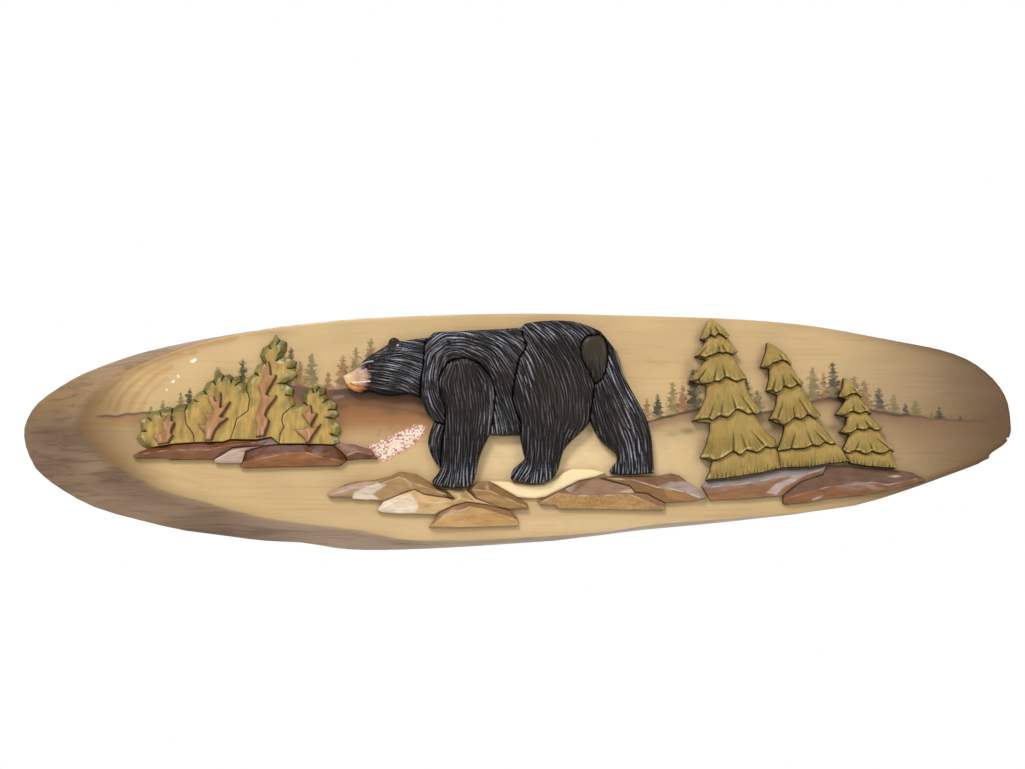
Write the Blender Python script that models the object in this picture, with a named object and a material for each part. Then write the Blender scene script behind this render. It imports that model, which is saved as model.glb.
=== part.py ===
"""A carved wooden wall plaque: an oblique slice of a log that carries a bear, spruces, bushes and rocks.

The plaque hangs upright in the XZ plane, its flat back at y = 0 and its face toward -Y.
The origin is the middle of the back. Every applied piece is a carved body glued on the face.
"""
import math
import random

import bpy
import bmesh
import numpy as np
from mathutils import Vector
from mathutils.geometry import delaunay_2d_cdt

# Driving sizes, in metres
LENGTH = 1.0
SLAB_THICKNESS = 0.018
GLUE_GAP = 0.0003
KERF = 0.0005
# How far the log's line runs left and down for each metre of slab thickness
LOG_LEAN = (-3.67, -0.39)
CHIP_DEPTH = 0.0012
# Swells of the log below the face: grid place along the edge, half width and depth
SWELLS = [(170, 150, 0.0112), (335, 35, 0.0030), (600, 240, 0.0015), (655, 45, 0.0030)]
SWELL_LEAN = 0.45

BEAR_RELIEF = 0.0125
BEAR_EDGE = 0.0065
BEAR_RIM = 0.70
FUR_DEPTH = 0.0013
FUR_WIDTH = 0.0046
FUR_MARGIN = 0.0016
SPRUCE_RELIEF = 0.0135
SPRUCE_STEP = 0.0055
FLUTE_DEPTH = 0.0026
FLUTE_RISE = 0.62
# On the drawing grid: how far a hem's cut slopes down, and how far above the foot its crest is
HEM_SLOPE = 0.8
FOOT_CREST = 4.0
BUSH_RELIEF = 0.0075
LEAF_CUT = 0.0030
LEAF_DEPTH = 0.011
BRANCH_RELIEF = 0.0035
ROCK_RELIEF = 0.0085
ROCK_RIM = 0.0050
PATH_RELIEF = 0.0045

# The outlines lie on a drawing grid of 987 units to the plaque's length, as an eye sees it
# from in front and a little below. A grid point slides along its sight line onto its own plane.
GRID_MIDDLE = (512.5, 384.5)
EYE_FOCUS = 1169.0
EYE_DISTANCE = 1.175 * LENGTH
EYE_BELOW = math.radians(8)
EYE_TILT = EYE_BELOW + math.atan(47.5 / EYE_FOCUS)
EYE_ASIDE = -0.0045 * LENGTH

LEFT_PLANE = BUSH_RELIEF
MIDDLE_PLANE = ROCK_RELIEF
RIGHT_PLANE = (ROCK_RELIEF + SPRUCE_RELIEF) / 2

FACE_OUTLINE = [
    (83, 427), (86, 410), (97, 393), (119, 377), (142, 364), (175, 351), (207, 341), (252, 331),
    (298, 324.5), (360, 318.5), (430, 315.4), (500, 313.6), (560, 313.6), (610, 315), (664, 316.4),
    (720, 318.3), (770, 321.5), (820, 327), (870, 336), (910, 343.5), (941, 349.8), (966, 358.7),
    (985, 371), (1000, 387), (1008, 403), (1010.8, 423), (1010.6, 437), (1004, 446.5),
    (993, 453.5), (989, 458.5), (978, 464), (947.6, 475.4), (904, 491), (855, 505.5),
    (800, 512.5), (742, 517.8), (690, 521.5), (650, 525), (621, 529.6), (580, 534), (520, 538),
    (470, 540.3), (430, 540.6), (400, 538), (366, 530.4), (330, 525.5), (298.5, 521.9),
    (252.5, 514), (206.6, 501.2), (160.7, 487.4), (128.6, 471.4), (108, 458), (92, 443),
]

# Seams that two pieces of the bear share
NECK = [(428.2, 337.5), (425, 343), (424, 355), (422.8, 369), (420.2, 383.2), (420.6, 397.9)]
WAIST = [(521.5, 327.3), (522, 333), (525.2, 343), (525, 350), (519.8, 358), (516.6, 370),
         (513.6, 388), (512.8, 399), (515.7, 411.5), (521, 423), (519.5, 434.8)]
SHOULDER = [(444.9, 424.5), (445.9, 412), (442.8, 399.5), (439.5, 387.5), (439.7, 376),
            (447.5, 364), (459.8, 358.4), (474.3, 361), (484, 369), (491, 379.5), (494.9, 392),
            (494.6, 404), (492.6, 420), (489.5, 434.6)]
ARMPIT = [(434, 421.5), (444.9, 424.5)]
FORELEGS = [(440.6, 468.6), (441.3, 456), (441.9, 445), (443.6, 434), (444.9, 424.5)]
HAUNCH = [(590.3, 421), (590.9, 410), (593.3, 394.8), (594.5, 384)]
TAIL_NEAR = [(594.5, 384), (588.5, 371), (582.4, 360), (580.6, 349), (582.5, 341), (588, 336),
             (599, 334.8)]
TAIL_FAR = [(599, 334.8), (603.5, 338), (606.8, 346), (607.8, 358.5), (605.4, 370.6), (600.9, 380),
            (594.5, 384)]
CROUP = [(599, 334.8), (601.8, 331.9)]

# Free edges of the bear's pieces
HEAD_BELOW = [(420.6, 397.9), (409.3, 393.2), (400.2, 394.2), (389.6, 395), (379, 393.7),
              (369.3, 390.9), (359.5, 392.3), (351, 389.5), (345, 383.9), (342.6, 376.1)]
HEAD_ABOVE = [(342.6, 376.1), (347.5, 373.6), (353.9, 369.8), (360.2, 364.9), (363.7, 360),
              (372, 353.7), (380.5, 348.8), (387.8, 344.2)]
EAR = [(387.8, 344.2), (389, 339.8), (393.2, 337.2), (397.4, 338.4), (400.2, 341)]
NAPE = [(400.2, 341), (405.8, 340.2), (417.7, 338.2), (428.2, 337.5)]
BACK = [(428.2, 337.5), (431.8, 334), (438, 331.6), (467.4, 330.3), (501.8, 328.6), (521.5, 327.3)]
BELLY = [(519.5, 434.8), (505, 435.3), (489.5, 434.6)]
CHEST = [(434, 421.5), (425, 410), (421.3, 400.5), (420.6, 397.9)]
NEAR_FORE_PAW = [(489.5, 434.6), (484.3, 445.5), (479.5, 457), (476.8, 470), (473.6, 481),
                 (468, 487), (452, 487.8), (438.5, 486.2), (431.5, 482), (436.5, 475),
                 (440.6, 468.6)]
FAR_FORE_FRONT = [(434, 421.5), (430, 430.2), (427.5, 441), (429.2, 451), (434.5, 461.5),
                  (440.6, 468.6)]
RUMP_TOP = [(521.5, 327.3), (524.8, 323.5), (536.4, 321.5), (553, 320.3), (572.7, 321.2),
            (587.2, 325.3), (596, 329), (601.8, 331.9)]
HIND_FRONT = [(519.5, 434.8), (520.9, 443), (523, 453), (523.8, 459.5), (513.3, 468.7),
              (510.3, 477.2), (514.5, 480.8), (530.3, 483.3), (543.6, 482.9), (553.3, 477.8),
              (558.4, 470), (560.6, 461.5), (564.2, 449.8), (572.7, 439.9), (584.8, 428.7),
              (590.3, 421)]
FAR_HIND_BACK = [(601.8, 331.9), (609, 341), (616.5, 350.5), (620.2, 360), (622.5, 371.5),
                 (630, 386.5), (637, 399), (643.5, 411), (648.5, 423), (651.8, 438),
                 (653.5, 456), (654.5, 472.6)]
FAR_HIND_FRONT = [(654.5, 472.6), (633.3, 474.3), (611.2, 473.2), (611.5, 467), (616.5, 461),
                  (616, 453.5), (608, 447), (600.6, 440.5), (594.5, 430.5), (590.3, 421)]

# Strokes that the fur follows: grid place and angle below the level, in degrees
FUR_HEAD = [(350, 378, 15), (365, 366, -25), (372, 376, 10), (390, 352, -10), (395, 370, 12),
            (392, 388, 8), (410, 346, 8), (412, 368, 22), (412, 388, 28)]
FUR_FORE = [(430, 345, -40), (427, 365, -75), (440, 346, -35), (455, 342, 0), (475, 342, 15),
            (470, 352, 30), (490, 340, 25), (512, 335, 25), (510, 352, 50), (500, 365, 60),
            (500, 390, 70), (506, 412, 72), (512, 428, 75), (496, 425, 80), (434, 365, -80),
            (430, 385, 85), (428, 400, 70), (436, 414, 60)]
FUR_NEAR_FORE = [(447, 372, 110), (462, 368, 80), (480, 372, 60), (450, 395, 78), (468, 395, 82),
                 (488, 400, 88), (460, 430, 88), (480, 430, 95), (455, 460, 92), (470, 462, 95),
                 (440, 480, 120), (456, 482, 95), (468, 480, 90)]
FUR_FAR_FORE = [(436, 428, 110), (431, 445, 92), (438, 462, 75)]
FUR_HIND = [(532, 328, 40), (552, 325, 30), (575, 326, 35), (592, 332, 45), (530, 345, 60),
            (555, 345, 55), (572, 350, 60), (530, 375, 72), (560, 375, 72), (582, 380, 75),
            (525, 405, 75), (550, 410, 82), (578, 410, 90), (535, 440, 90), (555, 440, 98),
            (575, 432, 120), (538, 462, 95), (522, 474, 125), (540, 477, 95), (550, 470, 85)]
FUR_FAR_HIND = [(606, 345, 55), (613, 360, 70), (600, 395, 80), (615, 385, 65), (630, 400, 62),
                (605, 420, 72), (625, 425, 68), (640, 425, 70), (612, 443, 70), (632, 450, 82),
                (645, 455, 85), (618, 470, 92), (640, 470, 88)]
FUR_TAIL = [(594, 350, 85), (597, 375, 90)]

# Bushes: free leafy edges, the seams between neighbours and the line where they meet the rocks
BROW_1 = [(147, 448), (160, 446), (173, 443.8), (194, 442.4)]
BROW_2 = [(194, 442.4), (223, 441.7), (230, 439.3)]
BROW_3 = [(230, 439.3), (257, 439.6), (271, 437), (279, 443.8)]
BROW_4 = [(279, 443.8), (302, 443.6), (333, 444.6), (339.5, 442.4)]
BUSH_SEAM_12 = [(186, 404), (184.5, 412), (186, 424), (193, 434), (194, 442.4)]
BUSH_SEAM_23 = [(246.5, 388.8), (249.3, 398.6), (247.9, 410.6), (236.5, 419), (234, 428),
                (230, 439.3)]
BUSH_SEAM_34 = [(295, 404.2), (283, 414), (281.5, 420), (284, 427), (280, 433.7), (279, 443.8)]
LEAVES_1 = [(147, 448), (139, 444), (135.3, 438), (139, 431), (138.6, 420), (146, 416.5),
            (151, 410.5), (159, 409.5), (166, 405.6), (172, 407), (178, 403.5), (186, 404)]
LEAVES_2 = [(186, 404), (192, 398.5), (196, 391.5), (202, 389.5), (205.5, 381.7), (211.5, 379),
            (218.4, 370.2), (223, 374.2), (228.2, 372.8), (233, 376.5), (238.7, 374), (241, 380.5),
            (246.2, 383), (246.5, 388.8)]
LEAVES_3 = [(246.5, 388.8), (246.2, 377.5), (253, 372), (256, 364), (261.5, 361), (258.5, 355),
            (262, 346.5), (267.5, 343.5), (274.8, 333.2), (279.5, 339), (285.9, 340.8),
            (285.5, 348.5), (281.5, 356), (288, 356.8), (296.2, 360.7), (293.5, 366.5),
            (297, 373.5), (291.4, 378.9), (284, 383.2), (292.8, 387.5), (291.5, 395),
            (295, 404.2)]
LEAVES_4 = [(295, 404.2), (301.5, 401.5), (302, 394), (305.4, 388.8), (310.5, 387),
            (314.5, 381.5), (319, 385.5), (325.2, 386.8), (324.5, 393), (328, 398),
            (336.8, 402.8), (335, 409), (338.4, 413), (332.8, 418), (338.5, 423.5),
            (340.5, 430), (336.8, 435.5), (339.5, 442.4)]

BRANCHES = {
    "bush_branch_1": [
        (157, 445), (156, 441), (153.5, 438.5), (151.2, 435.3), (155, 434), (160.5, 432.6),
        (163, 430), (162, 425.5), (160.6, 421.8), (164, 420.4), (165.8, 416.6), (170, 413.6),
        (172, 414.6), (171.8, 420.4), (175.4, 421.8), (173.8, 426), (171.8, 430), (171.4, 433.4),
        (174, 434.8), (171.4, 438.6), (168.4, 443.6)],
    "bush_branch_2": [
        (203.5, 441), (204, 433), (200.5, 429.5), (196.8, 424.8), (197.2, 422), (201, 424.5),
        (204.6, 424), (206, 420.5), (204, 415.5), (204.4, 412.8), (207, 413), (211, 413),
        (212.5, 409.5), (209.8, 404), (206.8, 399), (207, 396.2), (210, 395.3), (214, 396),
        (216, 400.5), (217.2, 399), (217.6, 393.5), (219.2, 390.2), (221.4, 392.5),
        (221.6, 399), (220.6, 407), (222.8, 405), (226.5, 402), (231, 400.2), (228.8, 405.5),
        (225.2, 411), (220.8, 416.6), (223, 417.2), (228.6, 416.8), (226.2, 420.4),
        (221.2, 423.8), (216.6, 429), (214, 434.4), (211.6, 441)],
    "bush_branch_3": [
        (254.8, 437.5), (255.8, 430), (256.2, 424), (254.3, 419), (255.6, 412.5), (258.8, 406),
        (260.2, 399), (260.2, 394), (257.8, 389), (256.2, 386), (257.6, 383.6), (260.6, 382.4),
        (262.6, 377), (262, 371), (264.4, 366), (265.6, 361), (268, 359.8), (270, 363.5),
        (271, 369), (271.2, 374.4), (274, 373.4), (277, 374.2), (276.4, 377.6), (273.6, 382.6),
        (270, 388.4), (267, 394.4), (270, 395.6), (273.6, 395.6), (276.6, 393.8), (277.2, 396.2),
        (275.2, 399.8), (270.8, 405.4), (267, 411.2), (265.6, 415.4), (269.8, 419.8),
        (268.2, 426.2), (266, 431.4), (264.8, 436.6)],
    "bush_branch_4": [
        (304.5, 443.2), (304, 439), (301.4, 436.2), (297.6, 433.6), (295, 430.6), (293.4, 428),
        (298, 428.6), (303.4, 428.4), (307.2, 427), (308, 424), (305, 420), (302.4, 416.6),
        (300.4, 413.2), (304, 412.6), (307.2, 410.4), (308.4, 406.6), (309.6, 403), (311.6, 405),
        (312.2, 409.4), (312.6, 412.8), (315.4, 412.8), (318.2, 412.2), (317, 416), (314, 420.6),
        (311.6, 425.6), (312.8, 427.2), (317, 425.6), (321.4, 422.6), (320.2, 426.4),
        (317, 431), (313.4, 436), (311, 440), (310, 443.2)],
}

# Rocks: outline, the plane it was drawn on, and the ridge that splits it into facets
ROCKS = {
    "rock_left_long": (LEFT_PLANE, [
        (131, 455.6), (139, 451), (147, 448), (160, 446), (173, 443.8), (194, 442.4), (223, 441.7),
        (230, 439.3), (257, 439.6), (271, 437), (279, 443.8), (262, 445.5), (232, 447.5), (213, 459),
        (187, 459.3), (168.7, 459.6), (165.3, 457.9), (134.3, 457.9)],
        [(138, 454.6), (168, 450.3), (207, 450.2), (226, 446), (262, 442)]),
    "rock_left_pale": (LEFT_PLANE, [
        (213, 459), (232, 447.5), (262, 445.5), (245, 451), (241.5, 463.3), (214, 463)],
        [(217, 459), (233, 451), (245, 448.8)]),
    "rock_left_broad": (LEFT_PLANE, [
        (262, 445.5), (279, 443.8), (302, 443.6), (333, 444.6), (343.5, 454), (347, 460),
        (339, 465.8), (285, 466.5), (243.7, 467.9), (238.5, 466.2), (241.5, 463.3), (245, 451)],
        [(247, 461), (285, 454), (305.6, 452.4), (317.7, 456.2), (340, 460.4)]),
    "rock_left_end": (LEFT_PLANE, [
        (333, 444.6), (339.5, 442.4), (353.9, 443.8), (371, 449), (378, 458.4), (359, 458.6),
        (347, 460), (343.5, 454)],
        [(347, 455.4), (357, 451.4), (371, 454.6)]),
    "rock_middle_peak": (MIDDLE_PLANE, [
        (326, 493.9), (345, 483.4), (358, 480.6), (374.7, 479.2), (390, 475.4), (399.5, 470.7),
        (416, 473.2), (430.5, 482), (437.6, 487.4), (445, 489), (454, 498), (438, 496.3),
        (423.8, 494), (414, 489), (401.4, 493.2), (383, 501), (376, 500.3), (352.3, 498.9),
        (350.9, 497.2), (328.4, 496.7)],
        [(333, 494.2), (352, 488.6), (375, 486), (399.5, 477), (414, 483.4), (432, 489.2),
         (446, 494.6)]),
    "rock_middle_pale": (MIDDLE_PLANE, [
        (376, 509.4), (383, 501), (401.4, 493.2), (414, 489), (423.8, 494), (438, 496.3),
        (454, 498), (445, 489), (452, 489.2), (466, 489), (475.7, 498.2), (500, 507.3),
        (488.4, 504.5), (467.3, 501.7), (453.3, 505.2), (439.3, 511.8), (435, 514.3),
        (398.6, 513.6), (380.3, 512.2)],
        [(382, 508), (402.8, 498), (416, 500.6), (436, 503), (460, 498.6)]),
    "rock_middle_slope": (MIDDLE_PLANE, [
        (466, 489), (475.7, 481.8), (488.3, 480.3), (504, 489.6), (517.5, 497.3), (527.7, 503),
        (529, 508.7), (510, 509.2), (500, 507.3), (475.7, 498.2)],
        [(472, 489.5), (490, 491), (512, 500.6), (525, 506)]),
    "rock_middle_small": (MIDDLE_PLANE, [
        (428, 526.9), (439.3, 511.8), (453.3, 505.2), (467.3, 501.7), (488.4, 504.5),
        (500, 507.3), (510.8, 510.8), (517.8, 517), (518.5, 525.5), (460, 527.6)],
        [(432, 524.6), (445, 515.7), (464.5, 509.4), (470, 506.4), (487, 510), (514, 519)]),
    "rock_right_front": (MIDDLE_PLANE, [
        (537.3, 500.9), (546.3, 496.8), (562.9, 488.6), (579.5, 480.3), (599, 477.3),
        (630.6, 485.8), (635.5, 491.8), (646.4, 493), (665.2, 502.4), (665.2, 510),
        (630.6, 509.8), (590.6, 509), (559, 508.8), (556, 505.2), (539.7, 504.5)],
        [(543, 501.6), (558, 493.4), (574.8, 495.4), (602.7, 495.6), (629.4, 494.2),
         (658, 506)]),
    "rock_right_rear": (MIDDLE_PLANE, [
        (599, 477.3), (607.6, 475.6), (633, 475.4), (656, 475.4), (671.8, 472.7), (680.3, 474.8),
        (687.6, 481), (698.5, 488.2), (708.2, 497.3), (698.5, 500.3), (665.2, 502.4),
        (646.4, 493), (635.5, 491.8), (630.6, 485.8)],
        [(608, 478.4), (634, 480), (658.4, 487.6), (674.2, 489.4), (687.5, 493.2),
         (701, 497.8)]),
    "rock_far_tall": (RIGHT_PLANE, [
        (702.2, 485.5), (706.6, 480.8), (744, 477.2), (780.7, 468.8), (810, 467.8), (829, 464.4),
        (824.7, 473.7), (802.7, 481), (785, 494.3), (782, 495.7), (744, 498.7), (711, 499.9)],
        [(708, 487), (740, 484), (775, 478), (800, 475.4), (820, 470.4)]),
    "rock_far_low": (RIGHT_PLANE, [
        (785, 494.3), (802.7, 481), (824.7, 473.7), (829, 464.4), (846.7, 464.8), (868.7, 467.6),
        (898, 469), (914.2, 471.5), (928.8, 478.9), (890.7, 489.9), (865.8, 495), (832, 498),
        (810, 502.3), (788, 504.3), (784.3, 503)],
        [(791, 497), (829, 486.6), (846.7, 485), (873, 482), (889, 484.6), (918, 478.6)]),
}

PATH_OUTLINE = [
    (488.3, 480.3), (509, 480.6), (514.5, 482), (530.3, 484.4), (543.6, 484), (554, 479),
    (563, 471.8), (573, 467.6), (592.8, 468.2), (606.9, 472), (597, 476.4), (579.5, 480.3),
    (562.9, 488.6), (546.3, 496.8), (534.7, 498.4), (517.5, 497.3), (504, 489.6)]

# Spruces: tip, then each tier as (left side down, hem from left to right, right side up), then the foot
SPRUCES = {
    "spruce_tall": ((711, 317.6), [
        ([(706.5, 323), (703, 331)],
         [(700.5, 338), (704.5, 338.6), (707.5, 336.8), (710.7, 334), (714.8, 336), (718.3, 332.3),
          (724, 335.8), (727.5, 337.4), (730.4, 335.4)],
         [(724, 327.6), (716, 321)]),
        ([(706.2, 340.6), (702, 347)],
         [(694.8, 355.6), (699.5, 354.8), (705.4, 356.6), (709, 354.9), (713, 353.9), (719.5, 351.4),
          (722.5, 352.5), (726, 351.1), (732, 353.5), (738.8, 351.2)],
         [(733, 345), (727.4, 338.6)]),
        ([(707, 359), (699, 367.6)],
         [(689.4, 380), (695, 379.8), (699.4, 378.6), (701, 382.4), (710, 382.3), (714, 380),
          (720, 380.3), (725, 376), (731, 378), (737, 380.5), (742, 378.6), (747.8, 377.6)],
         [(741, 368.6), (736, 360), (733.6, 354.6)]),
        ([(707.4, 385), (706, 396), (700.4, 409)],
         [(692.4, 420.4), (700, 418.5), (709, 417.6), (712, 419.6), (717, 416.6), (721, 414.8),
          (728, 416.4), (735.6, 408.8), (741, 409.2), (748, 412.9), (753, 412.6), (757.4, 413),
          (763, 410)],
         [(756, 402.4), (750, 394), (746, 381.6)]),
        ([(710.8, 422.4), (710.2, 431), (706, 445)],
         [(700.6, 457.2), (709, 457.2), (716, 459.4), (724, 456), (733.5, 450.4), (740.4, 454.4),
          (746, 449.2), (751, 450), (758.6, 451.2), (765, 446.4), (771, 446.9), (776.3, 446.4)],
         [(776.8, 439), (768, 432.4), (761, 423), (756.4, 414.8)])],
        [(713, 460.8), (710.6, 469), (706.2, 480), (728, 477.4), (750, 474.4), (766, 471.4),
         (780.5, 467.6), (779, 453)]),
    "spruce_middle": ((767.6, 341.2), [
        ([(766.6, 350)],
         [(761, 366.4), (768, 366), (773, 362.2), (778, 361), (782.4, 358.9), (787.5, 361.2),
          (790.5, 364), (792.6, 362)],
         [(786, 354), (778, 347)]),
        ([(770, 368), (769.8, 378)],
         [(766.8, 390), (773, 389.4), (776, 391.7), (780, 390), (784, 385.3), (791.4, 387.2),
          (797.6, 383.4), (801.6, 385.4), (804.8, 382.2)],
         [(797, 376), (792.4, 366)]),
        ([(778, 394.4), (776.6, 405)],
         [(769.8, 418.8), (777.6, 418.6), (781, 423.2), (786.6, 423), (794.5, 416.8), (801.4, 418.6),
          (808, 413.8), (816.4, 418), (822, 415.4)],
         [(813, 404), (804, 391), (802.4, 386)]),
        ([(785.2, 425.6), (784, 434)],
         [(777.8, 450), (787, 449), (791, 447.6), (796.4, 448.1), (806, 447.2), (812, 444.2),
          (819.4, 445.2), (824.5, 441.1), (830, 443.2), (836.4, 442.8)],
         [(829, 432.6), (821, 424), (817.6, 418.6)])],
        [(779.2, 453), (780.6, 467.4), (796, 466.9), (810, 466.4), (829, 463.2), (849.6, 461.4),
         (842, 447)]),
    "spruce_small": ((844.8, 377), [
        ([(843.2, 387)],
         [(839, 396.2), (845, 396.6), (849.6, 393.8), (856, 392.6), (860, 395.4), (863.4, 396.6)],
         [(858, 388), (850, 379.6)]),
        ([(847, 398.8), (842, 406)],
         [(836.4, 413.8), (845.4, 414.2), (849.6, 411.2), (853, 410.4), (860, 412.5), (865.6, 410.4),
          (873, 413.8)],
         [(867, 405), (861.6, 398)]),
        ([(848, 416.6), (846.6, 424)],
         [(840.4, 431.4), (851, 432.2), (857, 428), (864.5, 429.1), (869.4, 426.7), (876, 429.4),
          (884.5, 428)],
         [(876, 420.6), (869.4, 414.2)]),
        ([(850.4, 434.6), (847.4, 441)],
         [(843.4, 449), (848.6, 452.2), (856, 449.5), (866, 453.2), (872, 450.2), (878, 452.5),
          (885, 452), (890, 449.2), (895.6, 451.4)],
         [(888, 443.6), (880.4, 430.4)])],
        [(846.4, 454), (851.2, 463.2), (868, 465.8), (884, 467.2), (898.4, 468), (892, 454)]),
}

COLOURS = {
    "slab": (0.50, 0.33, 0.16), "bear": (0.012, 0.009, 0.008), "leaf": (0.30, 0.24, 0.06),
    "needle": (0.24, 0.19, 0.04), "branch": (0.19, 0.07, 0.02), "rock_dark": (0.12, 0.045, 0.02),
    "rock_light": (0.42, 0.25, 0.11), "cream": (0.75, 0.55, 0.31),
}


def material(name):
    """One Principled material of a named colour."""
    found = bpy.data.materials.get(name)
    if found:
        return found
    made = bpy.data.materials.new(name)
    made.use_nodes = True
    shader = made.node_tree.nodes["Principled BSDF"]
    shader.inputs["Base Color"].default_value = (*COLOURS[name], 1)
    shader.inputs["Roughness"].default_value = 0.35
    shader.inputs["Metallic"].default_value = 0.0
    return made


def place(grid_point, plane):
    """Slides a grid point along its sight line onto the plane at a height above the face."""
    u, v = grid_point
    right = (u - GRID_MIDDLE[0]) / EYE_FOCUS
    above = (GRID_MIDDLE[1] - v) / EYE_FOCUS
    eye_y = -SLAB_THICKNESS - EYE_DISTANCE * math.cos(EYE_BELOW)
    eye_z = -EYE_DISTANCE * math.sin(EYE_BELOW)
    ray_y = math.cos(EYE_TILT) - above * math.sin(EYE_TILT)
    ray_z = math.sin(EYE_TILT) + above * math.cos(EYE_TILT)
    reach = (-SLAB_THICKNESS - plane - eye_y) / ray_y
    return (EYE_ASIDE + right * reach, eye_z + ray_z * reach)


def curve_through(points, steps):
    """Catmull-Rom curve through open points, each stretch cut into a number of steps."""
    ends = [points[0], *points, points[-1]]
    made = []
    for i in range(1, len(ends) - 2):
        a, b, c, d = (np.array(p, float) for p in ends[i - 1:i + 3])
        for s in range(steps):
            t = s / steps
            made.append(0.5 * (2 * b + (c - a) * t + (2 * a - 5 * b + 4 * c - d) * t ** 2
                               + (3 * b - a - 3 * c + d) * t ** 3))
    made.append(np.array(points[-1], float))
    return [tuple(p) for p in made]


def chain(*runs, steps=1):
    """Joins open runs, end to start, into one closed outline."""
    outline = []
    for run in runs:
        outline += curve_through(run, steps)[:-1]
    return outline


def closed_curve(points, steps):
    """Smooth closed curve through points."""
    wrapped = points[-2:] + points + points[:2]
    return curve_through(wrapped, steps)[2 * steps:(2 + len(points)) * steps]


def inset(loop, width):
    """Moves each corner of a loop inward by a width."""
    area = sum(a[0] * b[1] - b[0] * a[1] for a, b in zip(loop, loop[1:] + loop[:1]))
    side = 1 if area > 0 else -1
    moved = []
    for i, here in enumerate(loop):
        before = Vector(loop[i - 1])
        after = Vector(loop[(i + 1) % len(loop)])
        first = (Vector(here) - before).normalized()
        second = (after - Vector(here)).normalized()
        normal = Vector((-first.y - second.y, first.x + second.x)) * side
        if normal.length < 0.2:
            normal = Vector((-second.y, second.x)) * side
        normal.normalize()
        lean = max(0.5, normal.dot(Vector((-second.y, second.x)) * side))
        moved.append(tuple(Vector(here) + normal * (width / lean)))
    return moved


def edge_distance(points, loop):
    """Distance from each point to the nearest side of a loop."""
    p = np.asarray(points, float)[:, None, :]
    a = np.asarray(loop, float)[None, :, :]
    b = np.roll(a, -1, axis=1)
    along = b - a
    share = ((p - a) * along).sum(2) / np.maximum((along ** 2).sum(2), 1e-12)
    nearest = a + np.clip(share, 0, 1)[..., None] * along
    return np.sqrt(((p - nearest) ** 2).sum(2)).min(1)


def inside(point, loop):
    """True where a point lies in a loop."""
    x, z = point
    odd = False
    for (ax, az), (bx, bz) in zip(loop, loop[1:] + loop[:1]):
        if (az > z) != (bz > z) and x < ax + (z - az) * (bx - ax) / (bz - az):
            odd = not odd
    return odd


def add_object(name, mesh, material_name):
    body = bpy.data.objects.new(name, mesh)
    mesh.materials.append(material(material_name))
    collection.objects.link(body)
    return body


def carve(name, loop, heights, lines, points, surface, back, material_name):
    """A flat-backed body whose front rises to a carved surface.

    heights are the outline's own heights; lines and points are (x, z, height) cuts and crests.
    """
    flat = [tuple(p) for p in loop]
    level = list(heights)
    edges = []
    for line in lines:
        start = len(flat)
        flat += [(x, z) for x, z, h in line]
        level += [h for x, z, h in line]
        edges += [(start + k, start + k + 1) for k in range(len(line) - 1)]
    flat += [(x, z) for x, z, h in points]
    level += [h for x, z, h in points]
    rim = list(range(len(loop)))
    fill = delaunay_2d_cdt([Vector(p) for p in flat], edges, [rim], 1, 1e-6)
    corners, faces, sources = fill[0], fill[2], fill[3]
    front = bmesh.new()
    for corner, source in zip(corners, sources):
        height = level[source[0]] if source else surface((corner.x, corner.y))
        front.verts.new((corner.x, -SLAB_THICKNESS - height, corner.y))
    front.verts.ensure_lookup_table()
    for face in faces:
        front.faces.new([front.verts[i] for i in face])
    border = [edge for edge in front.edges if edge.is_boundary]
    walls = bmesh.ops.extrude_edge_only(front, edges=border)["geom"]
    skirt = [item for item in walls if isinstance(item, bmesh.types.BMVert)]
    for vertex in skirt:
        vertex.co.y = -SLAB_THICKNESS - back
    bmesh.ops.contextual_create(
        front, geom=[item for item in walls if isinstance(item, bmesh.types.BMEdge)
                     and all(v in set(skirt) for v in item.verts)])
    bmesh.ops.triangulate(front, faces=front.faces[:])
    bmesh.ops.recalc_face_normals(front, faces=front.faces[:])
    mesh = bpy.data.meshes.new(name)
    front.to_mesh(mesh)
    front.free()
    return add_object(name, mesh, material_name)


def slab():
    """The oblique slice: an oval face, and the same oval carried back along the log's own line."""
    face = closed_curve(FACE_OUTLINE, 2)
    chip = random.Random(5)
    front, rear = [], []
    for u, v in face:
        x, z = place((u, v), 0)
        under = min(1, max(0, (v - 427) / 25))
        swell = under * sum(deep * math.exp(-((u - at) / wide) ** 2) for at, wide, deep in SWELLS)
        drift_x, drift_z = (SLAB_THICKNESS * lean for lean in LOG_LEAN)
        rear.append((x + drift_x - swell * SWELL_LEAN, z + drift_z - swell))
        worn = CHIP_DEPTH * chip.random() if u > 985 and 436 < v < 462 else 0
        front.append((x - worn, z + worn))
    body = bmesh.new()
    ring_front = [body.verts.new((x, -SLAB_THICKNESS, z)) for x, z in front]
    ring_rear = [body.verts.new((x, 0, z)) for x, z in rear]
    body.faces.new(ring_front)
    body.faces.new(ring_rear)
    count = len(front)
    for i in range(count):
        j = (i + 1) % count
        body.faces.new((ring_front[i], ring_front[j], ring_rear[j], ring_rear[i]))
    bmesh.ops.triangulate(body, faces=body.faces[:])
    bmesh.ops.recalc_face_normals(body, faces=body.faces[:])
    mesh = bpy.data.meshes.new("slab")
    body.to_mesh(mesh)
    body.free()
    add_object("slab", mesh, "slab")


def flow_of(strokes, plane):
    """Fur direction at a place, blended from the strokes nearest to it."""
    spots = np.array([place((u, v), plane) for u, v, angle in strokes])
    turns = np.radians([-angle for u, v, angle in strokes])
    ways = np.stack([np.cos(turns), np.sin(turns)], 1)

    def flow(point):
        weight = 1 / (((spots - np.asarray(point)) ** 2).sum(1) + 1e-5) ** 2
        way = (ways * weight[:, None]).sum(0)
        return way / max(np.linalg.norm(way), 1e-9)
    return flow


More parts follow.
